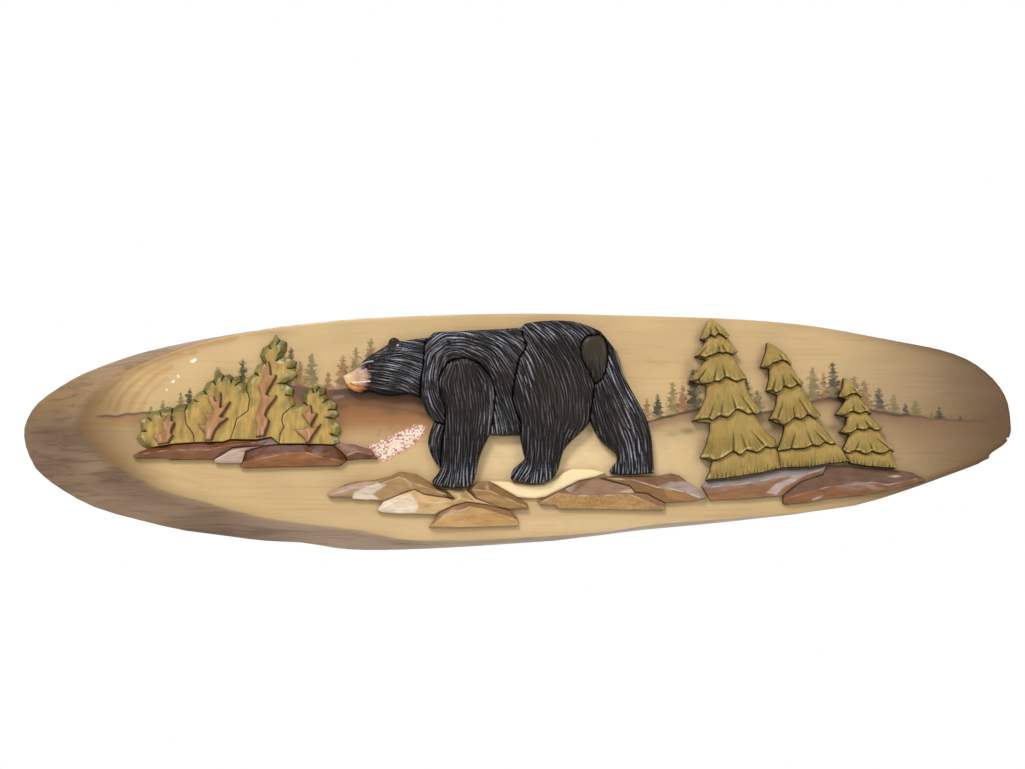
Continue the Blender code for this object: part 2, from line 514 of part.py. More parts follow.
def fur_lines(loop, flow):
    """Evenly spaced lines that follow the fur, grooves and crests by turns."""
    stride = FUR_WIDTH * 0.8
    near = FUR_WIDTH * 0.60
    xs = [x for x, z in loop]
    zs = [z for x, z in loop]
    grooves, waiting, tracks = [], [], []
    taken = np.empty((0, 2))
    for k in range(6):
        for m in range(6):
            waiting.append(((min(xs) + (max(xs) - min(xs)) * (k + 0.5) / 6,
                             min(zs) + (max(zs) - min(zs)) * (m + 0.5) / 6), True))
    waiting.reverse()
    margin = FUR_MARGIN
    while waiting:
        seed, groove = waiting.pop()
        if not inside(seed, loop) or edge_distance([seed], loop)[0] < margin:
            continue
        if len(taken) and np.sqrt(((taken - seed) ** 2).sum(1)).min() < near:
            continue
        runs = []
        for sense in (1, -1):
            run = []
            here = np.array(seed)
            for step in range(60):
                here = here + flow(here) * stride * sense
                if not inside(here, loop) or edge_distance([here], loop)[0] < margin:
                    break
                if len(taken) and np.sqrt(((taken - here) ** 2).sum(1)).min() < near * 0.8:
                    break
                run.append(here)
            runs.append(run)
        track = runs[1][::-1] + [np.array(seed)] + runs[0]
        if len(track) < 3:
            continue
        tracks.append((track, groove))
        taken = np.vstack([taken, track])
        for here in track[::2]:
            way = flow(here)
            side = np.array([-way[1], way[0]]) * FUR_WIDTH * 0.62
            waiting.append((tuple(here + side), not groove))
            waiting.append((tuple(here - side), not groove))
    return tracks


def bear_piece(name, runs, strokes, relief, furred=True):
    """A rounded piece of the bear, with locks of fur cut along its strokes."""
    outline = chain(*runs, steps=2)
    loop = inset([place(p, MIDDLE_PLANE) for p in outline], KERF / 2)

    def swell(points):
        share = np.clip(edge_distance(points, loop) / BEAR_EDGE, 0, 1)
        return relief * (BEAR_RIM + (1 - BEAR_RIM) * np.sqrt(1 - (1 - share) ** 2))

    def surface(point):
        return float(swell([point])[0])
    lines, points = [], []
    taken = np.zeros((1, 2))
    if furred:
        tracks = fur_lines(loop, flow_of(strokes, MIDDLE_PLANE))
        taken = np.array([p for track, groove in tracks for p in track])
        for number, (track, groove) in enumerate(tracks):
            coarse = track[number % 3:-1:3] if len(track) > 5 else track[:-1:2]
            coarse = [track[0]] * (number % 3 > 0) + list(coarse) + [track[-1]]
            level = swell(coarse)
            deep = [FUR_DEPTH * (0.4 + 0.8 * ((k + number) % 2)) if groove else 0
                    for k in range(len(coarse))]
            deep[0] = deep[-1] = 0
            lines.append([(p[0], p[1], h - d) for p, h, d in zip(coarse, level, deep)])
    for width in (BEAR_EDGE * 0.3, BEAR_EDGE * 0.9):
        for corner in inset(loop, width)[::2 if furred else 1]:
            if inside(corner, loop) and edge_distance([corner], loop)[0] > width * 0.8:
                if np.sqrt(((taken - np.array(corner)) ** 2).sum(1)).min() > 0.0022:
                    points.append((corner[0], corner[1], surface(corner)))
    heights = [relief * BEAR_RIM] * len(loop)
    carve(name, loop, heights, lines, points, surface, GLUE_GAP, "bear")


def bear():
    tail_outline = [TAIL_NEAR, TAIL_FAR]
    head = [HEAD_ABOVE, EAR, NAPE, NECK, HEAD_BELOW]
    fore = [BACK, WAIST, BELLY, SHOULDER[::-1], ARMPIT[::-1], CHEST, NECK[::-1]]
    near_fore = [SHOULDER, NEAR_FORE_PAW, FORELEGS]
    far_fore = [ARMPIT, FORELEGS[::-1], FAR_FORE_FRONT[::-1]]
    hind = [RUMP_TOP, CROUP[::-1], TAIL_NEAR[::-1], HAUNCH[::-1], HIND_FRONT[::-1], WAIST[::-1]]
    far_hind = [FAR_HIND_BACK, FAR_HIND_FRONT, HAUNCH, TAIL_FAR[::-1], CROUP]
    bear_piece("bear_head", head, FUR_HEAD, BEAR_RELIEF * 0.95)
    bear_piece("bear_forequarter", fore, FUR_FORE, BEAR_RELIEF)
    bear_piece("bear_near_foreleg", near_fore, FUR_NEAR_FORE, BEAR_RELIEF * 1.12)
    bear_piece("bear_far_foreleg", far_fore, FUR_FAR_FORE, BEAR_RELIEF * 0.8)
    bear_piece("bear_hindquarter", hind, FUR_HIND, BEAR_RELIEF * 1.08)
    bear_piece("bear_far_hind_leg", far_hind, FUR_FAR_HIND, BEAR_RELIEF * 0.9)
    bear_piece("bear_tail", tail_outline, FUR_TAIL, BEAR_RELIEF, furred=False)


def notches_of(loop):
    """Corners where a loop bends inward, such as the cuts between leaves."""
    area = sum(a[0] * b[1] - b[0] * a[1] for a, b in zip(loop, loop[1:] + loop[:1]))
    found = []
    for i, here in enumerate(loop):
        a = Vector(loop[i - 1])
        b = Vector(here)
        c = Vector(loop[(i + 1) % len(loop)])
        turn = (b - a).cross(c - b) * (1 if area > 0 else -1)
        if turn < 0:
            found.append(i)
    return found


def bush(name, leafy, rest):
    """A bush: a flat middle, and a rim cut into leaves by a groove from every notch."""
    leaf_edge = [place(p, LEFT_PLANE) for p in leafy]
    outline = chain(leafy, *rest)
    loop = inset([place(p, LEFT_PLANE) for p in outline], KERF / 2)

    def surface(point):
        return BUSH_RELIEF
    heights = [BUSH_RELIEF * 0.45 if k < len(leafy) else BUSH_RELIEF * 0.85
               for k in range(len(loop))]
    lines, points = [], []
    notches = [k for k in notches_of(loop) if 0 < k < len(leafy) - 1]
    middle = np.mean(np.array(leaf_edge + loop[len(leafy):]), axis=0)
    for k in range(1, len(leafy) - 1):
        here = np.array(loop[k])
        inward = np.array(inset(loop, LEAF_DEPTH)[k]) - here
        inward = inward / np.linalg.norm(inward) + (middle - here) / np.linalg.norm(middle - here) * 0.5
        inward = inward / np.linalg.norm(inward)
        if k in notches:
            heights[k] = BUSH_RELIEF * 0.30
            halfway = here + inward * LEAF_DEPTH * 0.45
            end = here + inward * LEAF_DEPTH * 0.85
            if inside(end, loop) and edge_distance([end], loop)[0] > 0.002:
                lines.append([(*here, heights[k]), (*halfway, BUSH_RELIEF - LEAF_CUT),
                              (*end, BUSH_RELIEF)])
        else:
            crest = here + inward * LEAF_DEPTH * 0.42
            if inside(crest, loop) and edge_distance([crest], loop)[0] > 0.0015:
                points.append((*crest, BUSH_RELIEF * 0.98))
    carve(name, loop, heights, lines, points, surface, GLUE_GAP, "leaf")


def bushes():
    bush("bush_1", LEAVES_1, [BUSH_SEAM_12, BROW_1[::-1]])
    bush("bush_2", LEAVES_2, [BUSH_SEAM_23, BROW_2[::-1], BUSH_SEAM_12[::-1]])
    bush("bush_3", LEAVES_3, [BUSH_SEAM_34, BROW_3[::-1], BUSH_SEAM_23[::-1]])
    bush("bush_4", LEAVES_4, [BROW_4[::-1], BUSH_SEAM_34[::-1]])
    for name, outline in BRANCHES.items():
        foot = BUSH_RELIEF + GLUE_GAP
        loop = inset([place(p, foot + BRANCH_RELIEF) for p in outline], KERF)
        top = foot + BRANCH_RELIEF
        crest = [(x, z, top) for x, z in inset(loop, 0.0012)]
        points = [p for p in crest if inside(p[:2], loop) and edge_distance([p[:2]], loop)[0] > 0.0007]
        carve(name, loop, [foot + BRANCH_RELIEF * 0.6] * len(loop), [], points,
              lambda point: top, foot, "branch")


def rocks():
    for name, (plane, outline, ridge) in ROCKS.items():
        loop = inset([place(p, plane) for p in outline], KERF / 2)
        crest = [(*place(p, plane), ROCK_RELIEF) for p in ridge]
        dark = name.startswith(("rock_left_l", "rock_left_b", "rock_left_e", "rock_far"))
        carve(name, loop, [ROCK_RIM] * len(loop), [crest], [], lambda point: ROCK_RELIEF,
              GLUE_GAP, "rock_dark" if dark else "rock_light")
    outline = closed_curve(PATH_OUTLINE, 1)
    loop = inset([place(p, MIDDLE_PLANE) for p in outline], KERF)
    flat = [(x, z, PATH_RELIEF) for x, z in inset(loop, 0.002)]
    points = [p for p in flat if inside(p[:2], loop) and edge_distance([p[:2]], loop)[0] > 0.0015]
    carve("path", loop, [PATH_RELIEF * 0.75] * len(loop), [], points,
          lambda point: PATH_RELIEF, GLUE_GAP, "cream")


def spruce(name, tip, tiers, foot):
    """A spruce of overlapping tiers, each with a hem of lobes and a flute above every notch."""
    left_side, right_side, ends = [tip], [], []
    for left, hem, right in tiers:
        left_side += left + [hem[0]]
        right_side = [hem[-1]] + right + right_side
        ends += [hem[0], hem[-1]]
    outline = left_side + foot + right_side
    loop = inset([place(p, RIGHT_PLANE) for p in outline], KERF / 2)
    low = SPRUCE_RELIEF - SPRUCE_STEP
    heights = [low + SPRUCE_STEP * (0.55 if corner in ends else 0.1) for corner in outline]
    for k in range(len(left_side) + 1, len(left_side) + len(foot) - 1):
        heights[k] = low + SPRUCE_STEP * 0.6

    def surface(point):
        return low + SPRUCE_STEP * 0.5
    lines, points = [], []
    for left, hem, right in tiers:
        upper, lower = [], []
        apex_u = (left[0][0] + right[-1][0]) / 2
        apex_v = (left[0][1] + right[-1][1]) / 2
        for k, (u, v) in enumerate(hem):
            if k in (0, len(hem) - 1):
                corner = outline.index((u, v))
                upper.append((*loop[corner], heights[corner]))
                continue
            notch = v < hem[k - 1][1] and v < hem[k + 1][1]
            bulge = 1 - (2 * (u - hem[0][0]) / (hem[-1][0] - hem[0][0]) - 1) ** 2
            top = low + SPRUCE_STEP * (0.62 + 0.38 * bulge) - (FLUTE_DEPTH if notch else 0)
            spot = place((u, v), RIGHT_PLANE)
            under = place((u, v + HEM_SLOPE), RIGHT_PLANE)
            upper.append((*spot, top))
            lower.append((*under, low))
            rise = FLUTE_RISE if notch else FLUTE_RISE * 0.5
            end = place((u + (apex_u - u) * rise * 0.8, v + (apex_v - v) * rise), RIGHT_PLANE)
            if inside(end, loop) and edge_distance([end], loop)[0] > 0.0012:
                crest = 0.42 if notch else 0.55 + 0.3 * bulge
                lines.append([(*spot, top), (*end, low + SPRUCE_STEP * crest)])
        lines += [upper, lower]
    base = foot[2:-1]
    for (u, v), (next_u, next_v) in zip(base, base[1:]):
        spot = place(((u + next_u) / 2, (v + next_v) / 2 - FOOT_CREST), RIGHT_PLANE)
        if inside(spot, loop) and edge_distance([spot], loop)[0] > 0.001:
            points.append((*spot, low + SPRUCE_STEP * 0.9))
    carve(name, loop, heights, lines, points, surface, GLUE_GAP, "needle")


for old in list(bpy.data.objects):
    bpy.data.objects.remove(old, do_unlink=True)
collection = bpy.data.collections.new("bear_plaque")
bpy.context.scene.collection.children.link(collection)

slab()
bear()
bushes()
rocks()
for spruce_name, (tip, tiers, foot) in SPRUCES.items():
    spruce(spruce_name, tip, tiers, foot)
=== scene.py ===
"""The looks of the carved bear plaque: finer carving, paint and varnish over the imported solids.

Every piece is carved again from its own outline, finely enough for single gouge cuts, and takes
its node's place. The outlines lie on a drawing grid of 987 units to the plaque's length.
"""
import math
import random

import bpy
import numpy as np
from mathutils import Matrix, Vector
from mathutils.geometry import delaunay_2d_cdt


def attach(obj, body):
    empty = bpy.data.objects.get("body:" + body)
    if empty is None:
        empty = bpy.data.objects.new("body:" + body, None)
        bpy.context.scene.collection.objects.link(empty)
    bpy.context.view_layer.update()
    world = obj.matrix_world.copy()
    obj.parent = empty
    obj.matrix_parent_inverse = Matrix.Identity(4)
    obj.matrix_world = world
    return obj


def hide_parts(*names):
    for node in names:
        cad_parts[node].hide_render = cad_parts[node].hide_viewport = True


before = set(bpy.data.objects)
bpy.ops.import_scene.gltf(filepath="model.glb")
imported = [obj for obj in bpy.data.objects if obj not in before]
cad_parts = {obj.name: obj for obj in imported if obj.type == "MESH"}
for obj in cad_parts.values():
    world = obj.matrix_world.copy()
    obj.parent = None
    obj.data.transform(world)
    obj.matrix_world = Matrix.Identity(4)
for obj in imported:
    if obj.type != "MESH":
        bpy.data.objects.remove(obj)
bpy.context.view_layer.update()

# Driving sizes, in metres
LENGTH = 1.0
SLAB_THICKNESS = 0.018
GLUE_GAP = 0.0003
KERF = 0.0005
# How far the log's line runs left and down for each metre of slab thickness
LOG_LEAN = (-3.67, -0.39)
CHIP_DEPTH = 0.0012
# Swells of the log below the face: grid place along the edge, half width and depth.
# They start at a height on the grid and reach their depth within a fade.
SWELL_START = 427
SWELL_FADE = 25
SWELLS = [(170, 150, 0.0112), (335, 35, 0.0030), (600, 240, 0.0015), (655, 45, 0.0030)]
SWELL_LEAN = 0.45
# The worn stretch of the right rim on the grid: left end, top and bottom
WORN_RIM = (985, 436, 462)

BEAR_RELIEF = 0.0125
BEAR_EDGE = 0.0065
BEAR_RIM = 0.70
SPRUCE_RELIEF = 0.0135
SPRUCE_STEP = 0.0055
FLUTE_DEPTH = 0.0026
# How far a hem's cut slopes down, on the drawing grid
HEM_SLOPE = 0.8
BUSH_RELIEF = 0.0075
LEAF_CUT = 0.0030
LEAF_DEPTH = 0.011
BRANCH_RELIEF = 0.0035
ROCK_RELIEF = 0.0085
ROCK_RIM = 0.0050
PATH_RELIEF = 0.0045

# How much a piece's rim is rounded off, and over what width
FUR_ROUND = (0.0003, 0.0006)
LEAF_ROUND = (0.0006, 0.0008)
ROCK_ROUND = (0.0007, 0.0008)
FACE_ROUND = (0.0005, 0.0016)
# How far the face and the log's own surface wave out of true
FACE_WAVE = 0.00004
LOG_WAVE = 0.0007

# Edges sharper than these angles stay sharp, in degrees
PIECE_CREASE = 42
SLAB_CREASE = 50
# Heights of the rings down a piece's side, as shares of its height
SIDE_RINGS = (0.5, 0.0)
# How clear of a rim or a cut the mesh's free points stay, in spacings
RIM_CLEAR = 0.5
CUT_CLEAR = 0.45
# Farther than any distance on the plaque
FAR = 1e9

# How far apart the points of each kind of surface lie
FUR_SPACING = 0.00052
HEAD_SPACING = 0.0004
LEAF_SPACING = 0.0006
BRANCH_SPACING = 0.00045
ROCK_SPACING = 0.00065
PATH_SPACING = 0.0008
SPRUCE_SPACING = 0.00055
FACE_SPACING = 0.0026
LINE_SPACING = 0.0009
RIM_SPACING = 0.0022
BACK_SPACING = 0.02
RIM_RINGS = 12

# The drawing grid is seen by an eye in front and a little below. A grid point slides along its
# sight line onto its own plane.
GRID_MIDDLE = (512.5, 384.5)
EYE_FOCUS = 1169.0
EYE_DISTANCE = 1.175 * LENGTH
EYE_BELOW = math.radians(8)
EYE_TILT = EYE_BELOW + math.atan(47.5 / EYE_FOCUS)
EYE_ASIDE = -0.0045 * LENGTH
EYE_Y = -SLAB_THICKNESS - EYE_DISTANCE * math.cos(EYE_BELOW)
EYE_Z = -EYE_DISTANCE * math.sin(EYE_BELOW)

LEFT_PLANE = BUSH_RELIEF
MIDDLE_PLANE = ROCK_RELIEF
RIGHT_PLANE = (ROCK_RELIEF + SPRUCE_RELIEF) / 2

FACE_OUTLINE = [
    (83, 427), (86, 410), (97, 393), (119, 377), (142, 364), (175, 351), (207, 341), (252, 331),
    (298, 324.5), (360, 318.5), (430, 315.4), (500, 313.6), (560, 313.6), (610, 315), (664, 316.4),
    (720, 318.3), (770, 321.5), (820, 327), (870, 336), (910, 343.5), (941, 349.8), (966, 358.7),
    (985, 371), (1000, 387), (1008, 403), (1010.8, 423), (1010.6, 437), (1004, 446.5),
    (993, 453.5), (989, 458.5), (978, 464), (947.6, 475.4), (904, 491), (855, 505.5),
    (800, 512.5), (742, 517.8), (690, 521.5), (650, 525), (621, 529.6), (580, 534), (520, 538),
    (470, 540.3), (430, 540.6), (400, 538), (366, 530.4), (330, 525.5), (298.5, 521.9),
    (252.5, 514), (206.6, 501.2), (160.7, 487.4), (128.6, 471.4), (108, 458), (92, 443),
]

# Seams that two pieces of the bear share
NECK = [(428.2, 337.5), (425, 343), (424, 355), (422.8, 369), (420.2, 383.2), (420.6, 397.9)]
WAIST = [(521.5, 327.3), (522, 333), (525.2, 343), (525, 350), (519.8, 358), (516.6, 370),
         (513.6, 388), (512.8, 399), (515.7, 411.5), (521, 423), (519.5, 434.8)]
SHOULDER = [(444.9, 424.5), (445.9, 412), (442.8, 399.5), (439.5, 387.5), (439.7, 376),
            (447.5, 364), (459.8, 358.4), (474.3, 361), (484, 369), (491, 379.5), (494.9, 392),
            (494.6, 404), (492.6, 420), (489.5, 434.6)]
ARMPIT = [(434, 421.5), (444.9, 424.5)]
FORELEGS = [(440.6, 468.6), (441.3, 456), (441.9, 445), (443.6, 434), (444.9, 424.5)]
HAUNCH = [(590.3, 421), (590.9, 410), (593.3, 394.8), (594.5, 384)]
TAIL_NEAR = [(594.5, 384), (588.5, 371), (582.4, 360), (580.6, 349), (582.5, 341), (588, 336),
             (599, 334.8)]
TAIL_FAR = [(599, 334.8), (603.5, 338), (606.8, 346), (607.8, 358.5), (605.4, 370.6), (600.9, 380),
            (594.5, 384)]
CROUP = [(599, 334.8), (601.8, 331.9)]

# Free edges of the bear's pieces
HEAD_BELOW = [(420.6, 397.9), (409.3, 393.2), (400.2, 394.2), (389.6, 395), (379, 393.7),
              (369.3, 390.9), (359.5, 392.3), (351, 389.5), (345, 383.9), (342.6, 376.1)]
HEAD_ABOVE = [(342.6, 376.1), (347.5, 373.6), (353.9, 369.8), (360.2, 364.9), (363.7, 360),
              (372, 353.7), (380.5, 348.8), (387.8, 344.2)]
EAR = [(387.8, 344.2), (389, 339.8), (393.2, 337.2), (397.4, 338.4), (400.2, 341)]
NAPE = [(400.2, 341), (405.8, 340.2), (417.7, 338.2), (428.2, 337.5)]
BACK = [(428.2, 337.5), (431.8, 334), (438, 331.6), (467.4, 330.3), (501.8, 328.6), (521.5, 327.3)]
BELLY = [(519.5, 434.8), (505, 435.3), (489.5, 434.6)]
CHEST = [(434, 421.5), (425, 410), (421.3, 400.5), (420.6, 397.9)]
NEAR_FORE_PAW = [(489.5, 434.6), (484.3, 445.5), (479.5, 457), (476.8, 470), (473.6, 481),
                 (468, 487), (452, 487.8), (438.5, 486.2), (431.5, 482), (436.5, 475),
                 (440.6, 468.6)]
FAR_FORE_FRONT = [(434, 421.5), (430, 430.2), (427.5, 441), (429.2, 451), (434.5, 461.5),
                  (440.6, 468.6)]
RUMP_TOP = [(521.5, 327.3), (524.8, 323.5), (536.4, 321.5), (553, 320.3), (572.7, 321.2),
            (587.2, 325.3), (596, 329), (601.8, 331.9)]
HIND_FRONT = [(519.5, 434.8), (520.9, 443), (523, 453), (523.8, 459.5), (513.3, 468.7),
              (510.3, 477.2), (514.5, 480.8), (530.3, 483.3), (543.6, 482.9), (553.3, 477.8),
              (558.4, 470), (560.6, 461.5), (564.2, 449.8), (572.7, 439.9), (584.8, 428.7),
              (590.3, 421)]
FAR_HIND_BACK = [(601.8, 331.9), (609, 341), (616.5, 350.5), (620.2, 360), (622.5, 371.5),
                 (630, 386.5), (637, 399), (643.5, 411), (648.5, 423), (651.8, 438),
                 (653.5, 456), (654.5, 472.6)]
FAR_HIND_FRONT = [(654.5, 472.6), (633.3, 474.3), (611.2, 473.2), (611.5, 467), (616.5, 461),
                  (616, 453.5), (608, 447), (600.6, 440.5), (594.5, 430.5), (590.3, 421)]

# Strokes that the fur follows: grid place and angle below the level, in degrees
FUR_HEAD = [(350, 378, 15), (365, 366, -25), (372, 376, 10), (390, 352, -10), (395, 370, 12),
            (392, 388, 8), (410, 346, 8), (412, 368, 22), (412, 388, 28)]
FUR_FORE = [(430, 345, -40), (427, 365, -75), (440, 346, -35), (455, 342, 0), (475, 342, 15),
            (470, 352, 30), (490, 340, 25), (512, 335, 25), (510, 352, 50), (500, 365, 60),
            (500, 390, 70), (506, 412, 72), (512, 428, 75), (496, 425, 80), (434, 365, -80),
            (430, 385, -95), (428, 400, -110), (436, 414, -120)]
FUR_NEAR_FORE = [(447, 372, 110), (462, 368, 80), (480, 372, 60), (450, 395, 78), (468, 395, 82),
                 (488, 400, 88), (460, 430, 88), (480, 430, 95), (455, 460, 92), (470, 462, 95),
                 (440, 480, 120), (456, 482, 95), (468, 480, 90)]
FUR_FAR_FORE = [(436, 428, 110), (431, 445, 92), (438, 462, 75)]
FUR_HIND = [(532, 328, 40), (552, 325, 30), (575, 326, 35), (592, 332, 45), (530, 345, 60),
            (555, 345, 55), (572, 350, 60), (530, 375, 72), (560, 375, 72), (582, 380, 75),
            (525, 405, 75), (550, 410, 82), (578, 410, 90), (535, 440, 90), (555, 440, 98),
            (575, 432, 120), (538, 462, 95), (522, 474, 125), (540, 477, 95), (550, 470, 85)]
FUR_FAR_HIND = [(606, 345, 55), (613, 360, 70), (600, 395, 80), (615, 385, 65), (630, 400, 62),
                (605, 420, 72), (625, 425, 68), (640, 425, 70), (612, 443, 70), (632, 450, 82),
                (645, 455, 85), (618, 470, 92), (640, 470, 88)]
FUR_TAIL = [(594, 350, 85), (597, 375, 90)]

# Bushes: free leafy edges, the seams between neighbours and the line where they meet the rocks
BROW_1 = [(147, 448), (160, 446), (173, 443.8), (194, 442.4)]
BROW_2 = [(194, 442.4), (223, 441.7), (230, 439.3)]
BROW_3 = [(230, 439.3), (257, 439.6), (271, 437), (279, 443.8)]
BROW_4 = [(279, 443.8), (302, 443.6), (333, 444.6), (339.5, 442.4)]
BUSH_SEAM_12 = [(186, 404), (184.5, 412), (186, 424), (193, 434), (194, 442.4)]
BUSH_SEAM_23 = [(246.5, 388.8), (249.3, 398.6), (247.9, 410.6), (236.5, 419), (234, 428),
                (230, 439.3)]
BUSH_SEAM_34 = [(295, 404.2), (283, 414), (281.5, 420), (284, 427), (280, 433.7), (279, 443.8)]
LEAVES_1 = [(147, 448), (139, 444), (135.3, 438), (139, 431), (138.6, 420), (146, 416.5),
            (151, 410.5), (159, 409.5), (166, 405.6), (172, 407), (178, 403.5), (186, 404)]
LEAVES_2 = [(186, 404), (192, 398.5), (196, 391.5), (202, 389.5), (205.5, 381.7), (211.5, 379),
            (218.4, 370.2), (223, 374.2), (228.2, 372.8), (233, 376.5), (238.7, 374), (241, 380.5),
            (246.2, 383), (246.5, 388.8)]
LEAVES_3 = [(246.5, 388.8), (246.2, 377.5), (253, 372), (256, 364), (261.5, 361), (258.5, 355),
            (262, 346.5), (267.5, 343.5), (274.8, 333.2), (279.5, 339), (285.9, 340.8),
            (285.5, 348.5), (281.5, 356), (288, 356.8), (296.2, 360.7), (293.5, 366.5),
            (297, 373.5), (291.4, 378.9), (284, 383.2), (292.8, 387.5), (291.5, 395),
            (295, 404.2)]
LEAVES_4 = [(295, 404.2), (301.5, 401.5), (302, 394), (305.4, 388.8), (310.5, 387),
            (314.5, 381.5), (319, 385.5), (325.2, 386.8), (324.5, 393), (328, 398),
            (336.8, 402.8), (335, 409), (338.4, 413), (332.8, 418), (338.5, 423.5),
            (340.5, 430), (336.8, 435.5), (339.5, 442.4)]

BRANCHES = {
    "bush_branch_1": [
        (157, 445), (156, 441), (153.5, 438.5), (151.2, 435.3), (155, 434), (160.5, 432.6),
        (163, 430), (162, 425.5), (160.6, 421.8), (164, 420.4), (165.8, 416.6), (170, 413.6),
        (172, 414.6), (171.8, 420.4), (175.4, 421.8), (173.8, 426), (171.8, 430), (171.4, 433.4),
        (174, 434.8), (171.4, 438.6), (168.4, 443.6)],
    "bush_branch_2": [
        (203.5, 441), (204, 433), (200.5, 429.5), (196.8, 424.8), (197.2, 422), (201, 424.5),
        (204.6, 424), (206, 420.5), (204, 415.5), (204.4, 412.8), (207, 413), (211, 413),
        (212.5, 409.5), (209.8, 404), (206.8, 399), (207, 396.2), (210, 395.3), (214, 396),
        (216, 400.5), (217.2, 399), (217.6, 393.5), (219.2, 390.2), (221.4, 392.5),
        (221.6, 399), (220.6, 407), (222.8, 405), (226.5, 402), (231, 400.2), (228.8, 405.5),
        (225.2, 411), (220.8, 416.6), (223, 417.2), (228.6, 416.8), (226.2, 420.4),
        (221.2, 423.8), (216.6, 429), (214, 434.4), (211.6, 441)],
    "bush_branch_3": [
        (254.8, 437.5), (255.8, 430), (256.2, 424), (254.3, 419), (255.6, 412.5), (258.8, 406),
        (260.2, 399), (260.2, 394), (257.8, 389), (256.2, 386), (257.6, 383.6), (260.6, 382.4),
        (262.6, 377), (262, 371), (264.4, 366), (265.6, 361), (268, 359.8), (270, 363.5),
        (271, 369), (271.2, 374.4), (274, 373.4), (277, 374.2), (276.4, 377.6), (273.6, 382.6),
        (270, 388.4), (267, 394.4), (270, 395.6), (273.6, 395.6), (276.6, 393.8), (277.2, 396.2),
        (275.2, 399.8), (270.8, 405.4), (267, 411.2), (265.6, 415.4), (269.8, 419.8),
        (268.2, 426.2), (266, 431.4), (264.8, 436.6)],
    "bush_branch_4": [
        (304.5, 443.2), (304, 439), (301.4, 436.2), (297.6, 433.6), (295, 430.6), (293.4, 428),
        (298, 428.6), (303.4, 428.4), (307.2, 427), (308, 424), (305, 420), (302.4, 416.6),
        (300.4, 413.2), (304, 412.6), (307.2, 410.4), (308.4, 406.6), (309.6, 403), (311.6, 405),
        (312.2, 409.4), (312.6, 412.8), (315.4, 412.8), (318.2, 412.2), (317, 416), (314, 420.6),
        (311.6, 425.6), (312.8, 427.2), (317, 425.6), (321.4, 422.6), (320.2, 426.4),
        (317, 431), (313.4, 436), (311, 440), (310, 443.2)],
}

